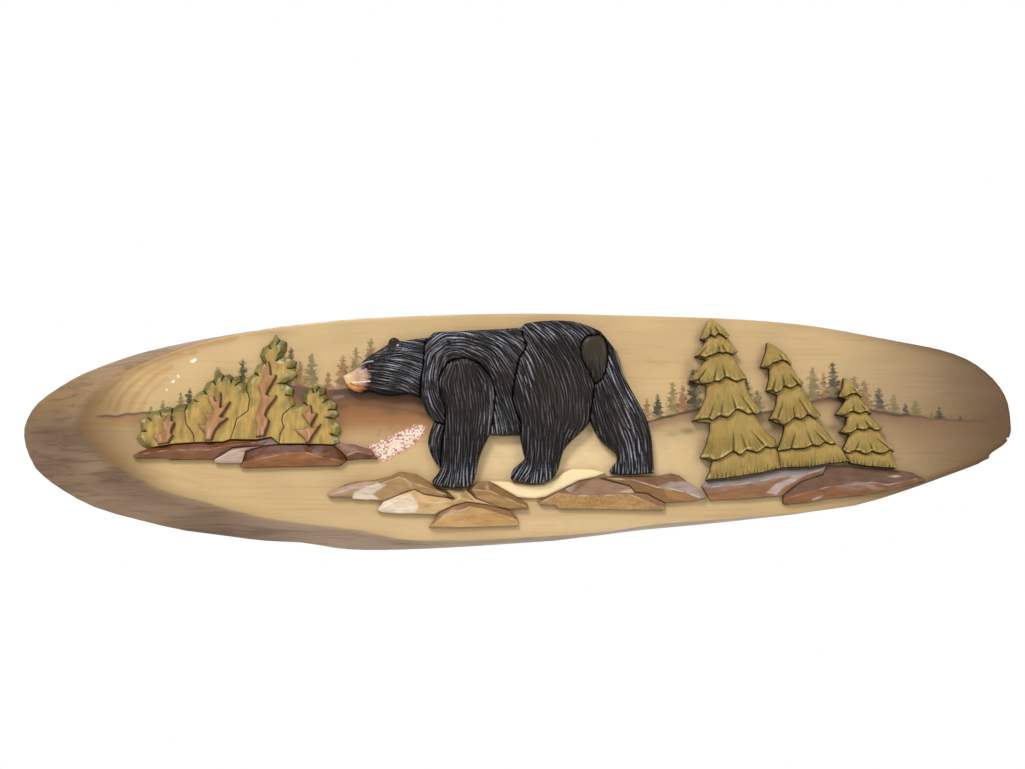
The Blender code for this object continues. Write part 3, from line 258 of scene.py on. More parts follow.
# Rocks: outline, the plane it was drawn on, and the ridge that splits it into facets
ROCKS = {
    "rock_left_long": (LEFT_PLANE, [
        (131, 455.6), (139, 451), (147, 448), (160, 446), (173, 443.8), (194, 442.4), (223, 441.7),
        (230, 439.3), (257, 439.6), (271, 437), (279, 443.8), (262, 445.5), (232, 447.5), (213, 459),
        (187, 459.3), (168.7, 459.6), (165.3, 457.9), (134.3, 457.9)],
        [(138, 454.6), (168, 450.3), (207, 450.2), (226, 446), (262, 442)]),
    "rock_left_pale": (LEFT_PLANE, [
        (213, 459), (232, 447.5), (262, 445.5), (245, 451), (241.5, 463.3), (214, 463)],
        [(217, 459), (233, 451), (245, 448.8)]),
    "rock_left_broad": (LEFT_PLANE, [
        (262, 445.5), (279, 443.8), (302, 443.6), (333, 444.6), (343.5, 454), (347, 460),
        (339, 465.8), (285, 466.5), (243.7, 467.9), (238.5, 466.2), (241.5, 463.3), (245, 451)],
        [(247, 461), (285, 454), (305.6, 452.4), (317.7, 456.2), (340, 460.4)]),
    "rock_left_end": (LEFT_PLANE, [
        (333, 444.6), (339.5, 442.4), (353.9, 443.8), (371, 449), (378, 458.4), (359, 458.6),
        (347, 460), (343.5, 454)],
        [(347, 455.4), (357, 451.4), (371, 454.6)]),
    "rock_middle_peak": (MIDDLE_PLANE, [
        (326, 493.9), (345, 483.4), (358, 480.6), (374.7, 479.2), (390, 475.4), (399.5, 470.7),
        (416, 473.2), (430.5, 482), (437.6, 487.4), (445, 489), (454, 498), (438, 496.3),
        (423.8, 494), (414, 489), (401.4, 493.2), (383, 501), (376, 500.3), (352.3, 498.9),
        (350.9, 497.2), (328.4, 496.7)],
        [(333, 494.2), (352, 488.6), (375, 486), (399.5, 477), (414, 483.4), (432, 489.2),
         (446, 494.6)]),
    "rock_middle_pale": (MIDDLE_PLANE, [
        (376, 509.4), (383, 501), (401.4, 493.2), (414, 489), (423.8, 494), (438, 496.3),
        (454, 498), (445, 489), (452, 489.2), (466, 489), (475.7, 498.2), (500, 507.3),
        (488.4, 504.5), (467.3, 501.7), (453.3, 505.2), (439.3, 511.8), (435, 514.3),
        (398.6, 513.6), (380.3, 512.2)],
        [(382, 508), (402.8, 498), (416, 500.6), (436, 503), (460, 498.6)]),
    "rock_middle_slope": (MIDDLE_PLANE, [
        (466, 489), (475.7, 481.8), (488.3, 480.3), (504, 489.6), (517.5, 497.3), (527.7, 503),
        (529, 508.7), (510, 509.2), (500, 507.3), (475.7, 498.2)],
        [(472, 489.5), (490, 491), (512, 500.6), (525, 506)]),
    "rock_middle_small": (MIDDLE_PLANE, [
        (428, 526.9), (439.3, 511.8), (453.3, 505.2), (467.3, 501.7), (488.4, 504.5),
        (500, 507.3), (510.8, 510.8), (517.8, 517), (518.5, 525.5), (460, 527.6)],
        [(432, 524.6), (445, 515.7), (464.5, 509.4), (470, 506.4), (487, 510), (514, 519)]),
    "rock_right_front": (MIDDLE_PLANE, [
        (537.3, 500.9), (546.3, 496.8), (562.9, 488.6), (579.5, 480.3), (599, 477.3),
        (630.6, 485.8), (635.5, 491.8), (646.4, 493), (665.2, 502.4), (665.2, 510),
        (630.6, 509.8), (590.6, 509), (559, 508.8), (556, 505.2), (539.7, 504.5)],
        [(543, 501.6), (558, 493.4), (574.8, 495.4), (602.7, 495.6), (629.4, 494.2),
         (658, 506)]),
    "rock_right_rear": (MIDDLE_PLANE, [
        (599, 477.3), (607.6, 475.6), (633, 475.4), (656, 475.4), (671.8, 472.7), (680.3, 474.8),
        (687.6, 481), (698.5, 488.2), (708.2, 497.3), (698.5, 500.3), (665.2, 502.4),
        (646.4, 493), (635.5, 491.8), (630.6, 485.8)],
        [(608, 478.4), (634, 480), (658.4, 487.6), (674.2, 489.4), (687.5, 493.2),
         (701, 497.8)]),
    "rock_far_tall": (RIGHT_PLANE, [
        (702.2, 485.5), (706.6, 480.8), (744, 477.2), (780.7, 468.8), (810, 467.8), (829, 464.4),
        (824.7, 473.7), (802.7, 481), (785, 494.3), (782, 495.7), (744, 498.7), (711, 499.9)],
        [(708, 487), (740, 484), (775, 478), (800, 475.4), (820, 470.4)]),
    "rock_far_low": (RIGHT_PLANE, [
        (785, 494.3), (802.7, 481), (824.7, 473.7), (829, 464.4), (846.7, 464.8), (868.7, 467.6),
        (898, 469), (914.2, 471.5), (928.8, 478.9), (890.7, 489.9), (865.8, 495), (832, 498),
        (810, 502.3), (788, 504.3), (784.3, 503)],
        [(791, 497), (829, 486.6), (846.7, 485), (873, 482), (889, 484.6), (918, 478.6)]),
}

PATH_OUTLINE = [
    (488.3, 480.3), (509, 480.6), (514.5, 482), (530.3, 484.4), (543.6, 484), (554, 479),
    (563, 471.8), (573, 467.6), (592.8, 468.2), (606.9, 472), (597, 476.4), (579.5, 480.3),
    (562.9, 488.6), (546.3, 496.8), (534.7, 498.4), (517.5, 497.3), (504, 489.6)]

# Spruces: tip, then each tier as (left side down, hem from left to right, right side up), then the foot
SPRUCES = {
    "spruce_tall": ((711, 317.6), [
        ([(706.5, 323), (703, 331)],
         [(700.5, 338), (704.5, 338.6), (707.5, 336.8), (710.7, 334), (714.8, 336), (718.3, 332.3),
          (724, 335.8), (727.5, 337.4), (730.4, 335.4)],
         [(724, 327.6), (716, 321)]),
        ([(706.2, 340.6), (702, 347)],
         [(694.8, 355.6), (699.5, 354.8), (705.4, 356.6), (709, 354.9), (713, 353.9), (719.5, 351.4),
          (722.5, 352.5), (726, 351.1), (732, 353.5), (738.8, 351.2)],
         [(733, 345), (727.4, 338.6)]),
        ([(707, 359), (699, 367.6)],
         [(689.4, 380), (695, 379.8), (699.4, 378.6), (701, 382.4), (710, 382.3), (714, 380),
          (720, 380.3), (725, 376), (731, 378), (737, 380.5), (742, 378.6), (747.8, 377.6)],
         [(741, 368.6), (736, 360), (733.6, 354.6)]),
        ([(707.4, 385), (706, 396), (700.4, 409)],
         [(692.4, 420.4), (700, 418.5), (709, 417.6), (712, 419.6), (717, 416.6), (721, 414.8),
          (728, 416.4), (735.6, 408.8), (741, 409.2), (748, 412.9), (753, 412.6), (757.4, 413),
          (763, 410)],
         [(756, 402.4), (750, 394), (746, 381.6)]),
        ([(710.8, 422.4), (710.2, 431), (706, 445)],
         [(700.6, 457.2), (709, 457.2), (716, 459.4), (724, 456), (733.5, 450.4), (740.4, 454.4),
          (746, 449.2), (751, 450), (758.6, 451.2), (765, 446.4), (771, 446.9), (776.3, 446.4)],
         [(776.8, 439), (768, 432.4), (761, 423), (756.4, 414.8)])],
        [(713, 460.8), (710.6, 469), (706.2, 480), (728, 477.4), (750, 474.4), (766, 471.4),
         (780.5, 467.6), (779, 453)]),
    "spruce_middle": ((767.6, 341.2), [
        ([(766.6, 350)],
         [(761, 366.4), (768, 366), (773, 362.2), (778, 361), (782.4, 358.9), (787.5, 361.2),
          (790.5, 364), (792.6, 362)],
         [(786, 354), (778, 347)]),
        ([(770, 368), (769.8, 378)],
         [(766.8, 390), (773, 389.4), (776, 391.7), (780, 390), (784, 385.3), (791.4, 387.2),
          (797.6, 383.4), (801.6, 385.4), (804.8, 382.2)],
         [(797, 376), (792.4, 366)]),
        ([(778, 394.4), (776.6, 405)],
         [(769.8, 418.8), (777.6, 418.6), (781, 423.2), (786.6, 423), (794.5, 416.8), (801.4, 418.6),
          (808, 413.8), (816.4, 418), (822, 415.4)],
         [(813, 404), (804, 391), (802.4, 386)]),
        ([(785.2, 425.6), (784, 434)],
         [(777.8, 450), (787, 449), (791, 447.6), (796.4, 448.1), (806, 447.2), (812, 444.2),
          (819.4, 445.2), (824.5, 441.1), (830, 443.2), (836.4, 442.8)],
         [(829, 432.6), (821, 424), (817.6, 418.6)])],
        [(779.2, 453), (780.6, 467.4), (796, 466.9), (810, 466.4), (829, 463.2), (849.6, 461.4),
         (842, 447)]),
    "spruce_small": ((844.8, 377), [
        ([(843.2, 387)],
         [(839, 396.2), (845, 396.6), (849.6, 393.8), (856, 392.6), (860, 395.4), (863.4, 396.6)],
         [(858, 388), (850, 379.6)]),
        ([(847, 398.8), (842, 406)],
         [(836.4, 413.8), (845.4, 414.2), (849.6, 411.2), (853, 410.4), (860, 412.5), (865.6, 410.4),
          (873, 413.8)],
         [(867, 405), (861.6, 398)]),
        ([(848, 416.6), (846.6, 424)],
         [(840.4, 431.4), (851, 432.2), (857, 428), (864.5, 429.1), (869.4, 426.7), (876, 429.4),
          (884.5, 428)],
         [(876, 420.6), (869.4, 414.2)]),
        ([(850.4, 434.6), (847.4, 441)],
         [(843.4, 449), (848.6, 452.2), (856, 449.5), (866, 453.2), (872, 450.2), (878, 452.5),
          (885, 452), (890, 449.2), (895.6, 451.4)],
         [(888, 443.6), (880.4, 430.4)])],
        [(846.4, 454), (851.2, 463.2), (868, 465.8), (884, 467.2), (898.4, 468), (892, 454)]),
}


def place(grid_point, plane):
    """Slides a grid point along its sight line onto the plane at a height above the face."""
    u, v = grid_point
    right = (u - GRID_MIDDLE[0]) / EYE_FOCUS
    above = (GRID_MIDDLE[1] - v) / EYE_FOCUS
    ray_y = math.cos(EYE_TILT) - above * math.sin(EYE_TILT)
    ray_z = math.sin(EYE_TILT) + above * math.cos(EYE_TILT)
    reach = (-SLAB_THICKNESS - plane - EYE_Y) / ray_y
    return (EYE_ASIDE + right * reach, EYE_Z + ray_z * reach)


def curve_through(points, steps):
    """Catmull-Rom curve through open points, each stretch cut into a number of steps."""
    ends = [points[0], *points, points[-1]]
    made = []
    for i in range(1, len(ends) - 2):
        a, b, c, d = (np.array(p, float) for p in ends[i - 1:i + 3])
        for s in range(steps):
            t = s / steps
            made.append(0.5 * (2 * b + (c - a) * t + (2 * a - 5 * b + 4 * c - d) * t ** 2
                               + (3 * b - a - 3 * c + d) * t ** 3))
    made.append(np.array(points[-1], float))
    return [tuple(p) for p in made]


def chain(*runs, steps=1):
    """Joins open runs, end to start, into one closed outline."""
    outline = []
    for run in runs:
        outline += curve_through(run, steps)[:-1]
    return outline


def closed_curve(points, steps):
    """Smooth closed curve through points."""
    wrapped = points[-2:] + points + points[:2]
    return curve_through(wrapped, steps)[2 * steps:(2 + len(points)) * steps]


def side_of(loop):
    """1 where a loop keeps its inside to the left, else -1."""
    area = sum(a[0] * b[1] - b[0] * a[1] for a, b in zip(loop, loop[1:] + loop[:1]))
    return 1 if area > 0 else -1


def inset(loop, width):
    """Moves each corner of a loop inward by a width."""
    side = side_of(loop)
    moved = []
    for i, here in enumerate(loop):
        before = Vector(loop[i - 1])
        after = Vector(loop[(i + 1) % len(loop)])
        first = (Vector(here) - before).normalized()
        second = (after - Vector(here)).normalized()
        normal = Vector((-first.y - second.y, first.x + second.x)) * side
        if normal.length < 0.2:
            normal = Vector((-second.y, second.x)) * side
        normal.normalize()
        lean = max(0.5, normal.dot(Vector((-second.y, second.x)) * side))
        moved.append(tuple(Vector(here) + normal * (width / lean)))
    return moved


def grid_of(points, plane):
    """The grid coordinates at which the eye sees points on a plane at a height above the face."""
    away = -SLAB_THICKNESS - plane - EYE_Y
    rise = points[:, 1] - EYE_Z
    ahead = away * math.cos(EYE_TILT) + rise * math.sin(EYE_TILT)
    above = -away * math.sin(EYE_TILT) + rise * math.cos(EYE_TILT)
    u = GRID_MIDDLE[0] + EYE_FOCUS * (points[:, 0] - EYE_ASIDE) / ahead
    v = GRID_MIDDLE[1] - EYE_FOCUS * above / ahead
    return u, v


def paint_of(red, green, blue):
    """Linear colour from chart numbers of 0 to 255."""
    chart = np.array([red, green, blue]) / 255
    return np.where(chart > 0.04, ((chart + 0.055) / 1.055) ** 2.4, chart / 12.92)


def smooth(value, low=0.0, high=1.0):
    """Rises from 0 to 1 between two limits, with soft ends."""
    share = np.clip((np.asarray(value, float) - low) / (high - low), 0, 1)
    return share * share * (3 - 2 * share)


def blend(first, second, share):
    """Mixes colours row by row. Either may be one colour for all rows."""
    share = np.asarray(share, float)
    return first * (1 - share[..., None]) + second * share[..., None]


def along(u, line):
    """Second number of a line of pairs, at each place u of the first."""
    return np.interp(u, [p[0] for p in line], [p[1] for p in line])


def sides_of(line, closed=True):
    """The sides of a line or loop, as pairs of flat points."""
    last = line[1:] + line[:1] if closed else line[1:]
    return [(np.array(a, float)[:2], np.array(b, float)[:2]) for a, b in zip(line, last)]


def edge_distance(points, line, closed=True):
    """Distance from each point to the nearest side of a line or loop."""
    points = np.asarray(points, float)
    nearest = np.full(len(points), FAR)
    for a, b in sides_of(line, closed):
        run = b - a
        share = np.clip((points - a) @ run / max(run @ run, 1e-12), 0, 1)
        nearest = np.minimum(nearest, ((points - a - share[:, None] * run) ** 2).sum(1))
    return np.sqrt(nearest)


def inside(points, loop):
    """Which points lie in a loop."""
    points = np.asarray(points, float)
    odd = np.zeros(len(points), bool)
    for a, b in sides_of(loop):
        if a[1] != b[1]:
            reach = a[0] + (points[:, 1] - a[1]) * (b[0] - a[0]) / (b[1] - a[1])
            odd ^= ((a[1] > points[:, 1]) != (b[1] > points[:, 1])) & (points[:, 0] < reach)
    return odd


def even_rows(low, high, spacing):
    """Rows of evenly spaced points, every second row half a step aside."""
    rise = spacing * math.sqrt(0.75)
    row, column = np.mgrid[0:int((high[1] - low[1]) / rise) + 1, 0:int((high[0] - low[0]) / spacing) + 1]
    return np.stack([low[0] + (column.ravel() + 0.5 * (row.ravel() % 2)) * spacing,
                     low[1] + row.ravel() * rise], 1)


def stepped(line, spacing, closed):
    """A line with points added along its sides, none farther apart than the spacing."""
    made = []
    for a, b in sides_of(line, closed):
        count = max(1, int(round(np.linalg.norm(b - a) / spacing)))
        made += [tuple(a + (b - a) * k / count) for k in range(count)]
    return made if closed else made + [tuple(line[-1][:2])]


def turned_left(loop):
    """The loop in the sense that keeps its inside to the left."""
    return loop if side_of(loop) > 0 else loop[::-1]


def fill_flat(loop, spacing, cuts=(), extra=None):
    """A fine triangle mesh inside a loop. Gives points, triangles, the loop's and the cuts' indices."""
    rim = stepped(loop, spacing, True)
    fixed = [np.array(rim)]
    fences = []
    start = len(rim)
    for cut in cuts:
        line = np.array(stepped(cut, spacing, False))
        fixed.append(line)
        fences += [(start + k, start + k + 1) for k in range(len(line) - 1)]
        start += len(line)
    field = even_rows(np.min(rim, 0), np.max(rim, 0), spacing) if extra is None else extra
    field = field[inside(field, loop)]
    clear = edge_distance(field, loop) > spacing * RIM_CLEAR
    for cut in cuts:
        clear &= edge_distance(field, cut, False) > spacing * CUT_CLEAR
    flat = np.vstack([*fixed, field[clear]])
    fill = delaunay_2d_cdt([Vector(p) for p in flat], fences, [list(range(len(rim)))], 1, 1e-8)
    points = np.array([(p.x, p.y) for p in fill[0]])
    place_of = {}
    for number, sources in enumerate(fill[3]):
        for source in sources:
            place_of[source] = number
    faces = np.array(fill[2])
    a, b, c = points[faces[:, 0]], points[faces[:, 1]], points[faces[:, 2]]
    turn = (b - a)[:, 0] * (c - a)[:, 1] - (b - a)[:, 1] * (c - a)[:, 0]
    faces[turn < 0] = faces[turn < 0][:, ::-1]
    rim_places = [place_of[k] for k in range(len(rim))]
    cut_places = []
    start = len(rim)
    for line in fixed[1:]:
        cut_places.append([place_of[k] for k in range(start, start + len(line))])
        start += len(line)
    return points, faces, rim_places, cut_places


def walls_between(rings):
    """Four-sided faces that join each ring of corners to the next."""
    return [(upper[k], lower[k], lower[(k + 1) % len(upper)], upper[(k + 1) % len(upper)])
            for upper, lower in zip(rings, rings[1:]) for k in range(len(upper))]


def add_object(name, data):
    """A new object of the scene that shows a mesh, a light or a camera."""
    made = bpy.data.objects.new(name, data)
    bpy.context.scene.collection.objects.link(made)
    return made


def make_object(name, corners, faces, colours, slot, crease=PIECE_CREASE):
    """A smooth-shaded object with a painted colour at every corner, in its node's place."""
    mesh = bpy.data.meshes.new(name)
    mesh.from_pydata(corners.tolist(), [], [list(map(int, face)) for face in faces])
    paint = mesh.attributes.new("paint", "FLOAT_COLOR", "POINT")
    paint.data.foreach_set("color", np.hstack([colours, np.ones((len(colours), 1))]).ravel())
    mesh.shade_smooth()
    mesh.set_sharp_from_angle(angle=math.radians(crease))
    mesh.materials.append(MATERIALS[slot])
    made = add_object(name, mesh)
    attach(made, "root")
    return made


def carve(name, loop, spacing, shape, side_colour, slot, foot=GLUE_GAP, cuts=()):
    """A fine flat-backed body in a node's place. shape gives its points' heights and colours."""
    loop = turned_left(loop)
    points, faces, rim, cut_places = fill_flat(loop, spacing, cuts)
    level, colours = shape(points, edge_distance(points, loop), cut_places)
    front = np.column_stack([points[:, 0], -SLAB_THICKNESS - level, points[:, 1]])
    count = len(rim)
    rings = [rim]
    corners = [front]
    total = len(front)
    for share in SIDE_RINGS:
        ring = front[rim].copy()
        ring[:, 1] = -SLAB_THICKNESS - (foot + (level[rim] - foot) * share)
        corners.append(ring)
        colours = np.vstack([colours, np.tile(side_colour, (count, 1))])
        rings.append(list(range(total, total + count)))
        total += count
    cap = delaunay_2d_cdt([Vector(points[k]) for k in rim], [], [list(range(count))], 1, 1e-8)
    back = []
    for face in cap[2]:
        a, b, c = (rings[-1][cap[3][k][0]] for k in face)
        back.append((c, b, a))
    made = make_object(name + "_carved", np.vstack(corners), list(faces) + walls_between(rings) + back,
                       colours, slot)
    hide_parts(name)


class Nodes:
    """Short names for the shader nodes of one material or group."""

    def __init__(self, tree):
        self.tree = tree

    def feed(self, socket, value):
        """Sets a socket's own value, or links another node's output to it."""
        if isinstance(value, bpy.types.NodeSocket):
            self.tree.links.new(value, socket)
        elif isinstance(value, (tuple, list, np.ndarray)) and socket.type == "RGBA":
            socket.default_value = (*[float(part) for part in value][:3], 1)
        else:
            socket.default_value = value

    def math(self, kind, first, second=0.0):
        """One sum of one or two numbers."""
        made = self.tree.nodes.new("ShaderNodeMath")
        made.operation = kind
        for socket, value in zip(made.inputs, (first, second)):
            self.feed(socket, value)
        return made.outputs[0]

    def share_sum(self, first, first_share, second, second_share):
        """Two signals added, each times its share."""
        return self.math("ADD", self.math("MULTIPLY", first, first_share),
                         self.math("MULTIPLY", second, second_share))

    def vector(self, kind, first, second=(0, 0, 0)):
        """One sum of two vectors."""
        made = self.tree.nodes.new("ShaderNodeVectorMath")
        made.operation = kind
        self.feed(made.inputs[0], first)
        self.feed(made.inputs[1], second)
        return made.outputs["Value" if kind in ("LENGTH", "DISTANCE") else "Vector"]

    def ramp(self, value, low, high, first=0.0, second=1.0):
        """Runs smoothly from a first to a second number while the value passes its limits."""
        made = self.tree.nodes.new("ShaderNodeMapRange")
        made.interpolation_type = "SMOOTHSTEP"
        for socket, given in zip(made.inputs, (value, low, high, first, second)):
            self.feed(socket, given)
        return made.outputs[0]

    def mix(self, share, first, second, kind="MIX"):
        """Mixes two colours by a share."""
        made = self.tree.nodes.new("ShaderNodeMix")
        made.data_type = "RGBA"
        made.blend_type = kind
        self.feed(made.inputs[0], share)
        self.feed(made.inputs[6], first)
        self.feed(made.inputs[7], second)
        return made.outputs[2]

    def noise(self, place, detail=3.0, roughness=0.55, distortion=0.0):
        """Soft noise at a place that is already divided by the size of its marks."""
        made = self.tree.nodes.new("ShaderNodeTexNoise")
        for name, value in (("Vector", place), ("Scale", 1.0), ("Detail", detail),
                            ("Roughness", roughness), ("Distortion", distortion)):
            self.feed(made.inputs[name], value)
        return made.outputs[0]

    def stretched(self, sizes, turn=0.0):
        """Object coordinates divided by the size in metres of a mark along each axis."""
        mapping = self.tree.nodes.new("ShaderNodeMapping")
        mapping.inputs["Rotation"].default_value = (0, turn, 0)
        mapping.inputs["Scale"].default_value = [1 / size for size in sizes]
        self.tree.links.new(self.place(), mapping.inputs["Vector"])
        return mapping.outputs[0]

    def place(self, kind="Object"):
        """The object's own coordinates, or those of another kind."""
        return self.tree.nodes.new("ShaderNodeTexCoord").outputs[kind]

    def split(self, vector):
        """The parts of a vector, by the names X, Y and Z."""
        made = self.tree.nodes.new("ShaderNodeSeparateXYZ")
        self.tree.links.new(vector, made.inputs[0])
        return made.outputs

    def centred(self, signal, size):
        """A signal that runs about 0.5 made to run about 0, times a size."""
        return self.math("MULTIPLY", self.math("SUBTRACT", signal, 0.5), size)

    def attribute(self, name, kind="Color"):
        """What the mesh carries at its points."""
        made = self.tree.nodes.new("ShaderNodeAttribute")
        made.attribute_name = name
        return made.outputs[kind]

    def bump(self, height, distance):
        """A normal tilted by a height signal, over a distance in metres."""
        made = self.tree.nodes.new("ShaderNodeBump")
        for name, value in (("Height", height), ("Distance", distance), ("Strength", 1.0)):
            self.feed(made.inputs[name], value)
        return made.outputs[0]


def new_material(name):
    """A node material: itself, its shader and the short names for its nodes."""
    made = bpy.data.materials.new(name)
    made.use_nodes = True
    return made, made.node_tree.nodes["Principled BSDF"], Nodes(made.node_tree)


def gloss(shader, shine, coat, coat_rough):
    """Sets the reflection of the paint and of the varnish over it."""
    shader.inputs["Specular IOR Level"].default_value = shine
    shader.inputs["Coat Weight"].default_value = coat
    shader.inputs["Coat Roughness"].default_value = coat_rough


FIBRE_TINT = (0.6, 0.45, 0.3)


def varnished(name, grain_sizes, turn, contrast, rough, coat, bump, shine):
    """Painted wood under varnish: the piece's own paint, fibres, patches, pores and brush marks."""
    made, shader, nodes = new_material(name)
    paint = nodes.attribute("paint")
    fibre = nodes.noise(nodes.stretched(grain_sizes, turn), detail=5, roughness=0.6, distortion=0.6)
    patch = nodes.noise(nodes.stretched((0.03, 0.03, 0.02)), detail=3)
    fine = nodes.noise(nodes.stretched((0.0016, 0.0016, 0.0016)), detail=4, roughness=0.7)
    dark = nodes.mix(1.0, paint, FIBRE_TINT, "MULTIPLY")
    streaks = nodes.math("MULTIPLY", nodes.ramp(fibre, 0.46, 0.72), contrast)
    colour = nodes.mix(streaks, paint, dark)
    colour = nodes.mix(nodes.ramp(patch, 0.35, 0.75, 0.0, contrast * 0.6), colour, dark)
    nodes.feed(shader.inputs["Base Color"], colour)
    uneven = nodes.share_sum(patch, 0.7, fine, 0.3)
    nodes.feed(shader.inputs["Roughness"], nodes.ramp(uneven, 0.3, 0.7, rough * 0.8, rough * 1.25))
    nodes.feed(shader.inputs["Normal"], nodes.bump(nodes.share_sum(fibre, 0.6, fine, 0.4), bump))
    gloss(shader, shine, coat, 0.2)
    return made


# Each slot's paint: fibre sizes, their turn and contrast, roughness, coat, bump and shine
MATERIALS = {
    "bear_black": varnished("bear_paint", (0.004, 0.004, 0.02), 0.0, 0.25, 0.40, 0.14, 0.00012, 0.14),
    "spruce_green": varnished("spruce_stain", (0.0018, 0.004, 0.018), 0.0, 0.60, 0.45, 0.10, 0.00012, 0.25),
    "bush_green": varnished("bush_stain", (0.0016, 0.004, 0.015), 0.0, 0.60, 0.38, 0.22, 0.00012, 0.30),
    "branch_brown": varnished("branch_stain", (0.0014, 0.004, 0.012), 0.2, 0.55, 0.38, 0.22, 0.0001, 0.30),
    "rock_brown": varnished("dark_rock_stain", (0.016, 0.004, 0.0018), 0.1, 0.55, 0.46, 0.06, 0.00008, 0.16),
    "rock_tan": varnished("light_rock_stain", (0.016, 0.004, 0.0018), -0.1, 0.50, 0.42, 0.18, 0.00012, 0.25),
    "path_cream": varnished("path_stain", (0.02, 0.004, 0.0025), 0.05, 0.12, 0.40, 0.18, 0.00008, 0.30),
}


def grid_line(points, plane):
    """Places a line of grid points on a plane."""
    return [place(p, plane) for p in points]


def noise_field(points, size, seed, squeeze=(1.0, 1.0)):
    """Soft noise from -1 to 1 with marks of a given size, longer along an axis that is squeezed."""
    draw = random.Random(seed)
    points = points * np.array(squeeze)
    total = np.zeros(len(points))
    for k in range(7):
        angle = draw.random() * math.tau
        rate = math.tau / (size * (0.7 + draw.random()))
        total += np.sin((points[:, 0] * math.cos(angle) + points[:, 1] * math.sin(angle)) * rate
                        + draw.random() * math.tau)
    return total / 4


def flow_at(points, strokes, plane):
    """Fur direction at each point, blended from the strokes nearest to it."""
    total = np.zeros((len(points), 2))
    for u, v, angle in strokes:
        x, z = place((u, v), plane)
        turn = math.radians(-angle)
        weight = 1 / (((points[:, 0] - x) ** 2 + (points[:, 1] - z) ** 2) + 1e-5) ** 2
        total += weight[:, None] * np.array([math.cos(turn), math.sin(turn)])
    return total / np.maximum(np.linalg.norm(total, axis=1), 1e-12)[:, None]


# Width of a fur stroke, how far it runs each way, and how deep it is cut
BODY_FUR = 0.0029
HEAD_FUR = 0.0023
FUR_REACH = 0.011
FUR_CUT = 0.00036
# The noise that is combed has this many cells to a stroke's width, and this much room round a piece
CELLS_A_STROKE = 7
COMB_MARGIN = 0.004
COMB_STEP = 5
BLACK = paint_of(20, 16, 15)
WARM_BLACK = paint_of(50, 38, 31)
# Grey of the strokes on the fur's crests, partly the paint's own grey and partly painted highlight, then a
# grey for the painted sheen where the crests catch most light
GREY_STROKE_AND_GLINT = paint_of(200, 201, 214)
CLUMP_SHEEN_GREY = paint_of(112, 108, 112)
# Where the fur's crests catch most light, and where it is worn brown: grid place, width, height
GLINTS = [(475, 337, 50, 8), (450, 350, 26, 12), (508, 350, 14, 16), (430, 380, 8, 25), (560, 331, 38, 9),
          (596, 345, 10, 12), (632, 415, 12, 38), (457, 478, 20, 10), (535, 474, 20, 8), (635, 462, 18, 12),
          (500, 422, 16, 12), (405, 350, 20, 9), (408, 372, 14, 20), (387, 384, 7, 6), (432, 440, 6, 18),
          (490, 405, 5, 35), (528, 365, 8, 25), (612, 370, 8, 20), (390, 368, 14, 8)]
WORN_BROWN = [(462, 395, 17, 38), (550, 395, 22, 48), (505, 372, 12, 14), (578, 400, 12, 34),
              (455, 372, 14, 9), (618, 420, 9, 25)]


def combed(points, strokes, plane, width, reach, seed):
    """Noise smeared along the fur: grooves and crests that lie about a width apart."""
    cell = width / CELLS_A_STROKE
    low = points.min(0) - COMB_MARGIN
    high = points.max(0) + COMB_MARGIN
    columns, rows = (int(n) for n in (high - low) / cell + 2)
    speck = np.random.default_rng(seed).random((rows, columns))

    def blurred(grid, half):
        """The grid with each cell averaged with its neighbours, twice each way."""
        for axis in (0, 1, 0, 1):
            grid = sum(np.roll(grid, k, axis) for k in range(-half, half + 1)) / (2 * half + 1)
        return grid

    speck = blurred(speck, 1) - blurred(speck, 2)
    row, column = np.mgrid[0:rows + COMB_STEP:COMB_STEP, 0:columns + COMB_STEP:COMB_STEP]
    coarse = np.stack([low[0] + column.ravel() * cell, low[1] + row.ravel() * cell], 1)
    way = flow_at(coarse, strokes, plane).reshape(row.shape + (2,))

    def read(grid, x, z):
        """The grid's value between its cells."""
        i = np.clip(x, 0, grid.shape[1] - 1.001)
        j = np.clip(z, 0, grid.shape[0] - 1.001)
        i0, j0 = i.astype(int), j.astype(int)
        p, q = i - i0, j - j0
        if grid.ndim == 3:
            p, q = p[..., None], q[..., None]
        return ((grid[j0, i0] * (1 - p) + grid[j0, i0 + 1] * p) * (1 - q)
                + (grid[j0 + 1, i0] * (1 - p) + grid[j0 + 1, i0 + 1] * p) * q)

    total = np.zeros(len(points))
    steps = int(reach / cell)
    for sense in (1, -1):
        x = (points[:, 0] - low[0]) / cell
        z = (points[:, 1] - low[1]) / cell
        for number in range(steps):
            here = read(way, x / COMB_STEP, z / COMB_STEP)
            x = x + here[:, 0] * sense
            z = z + here[:, 1] * sense
            total += read(speck, x, z) * (1 - number / steps)
    return total / max(total.std(), 1e-9)


def rounded(level, gap, drop, reach):
    """Lowers a piece's rim by a drop that fades out over a reach from the edge."""
    return level - drop * (1 - smooth(gap, 0, reach))


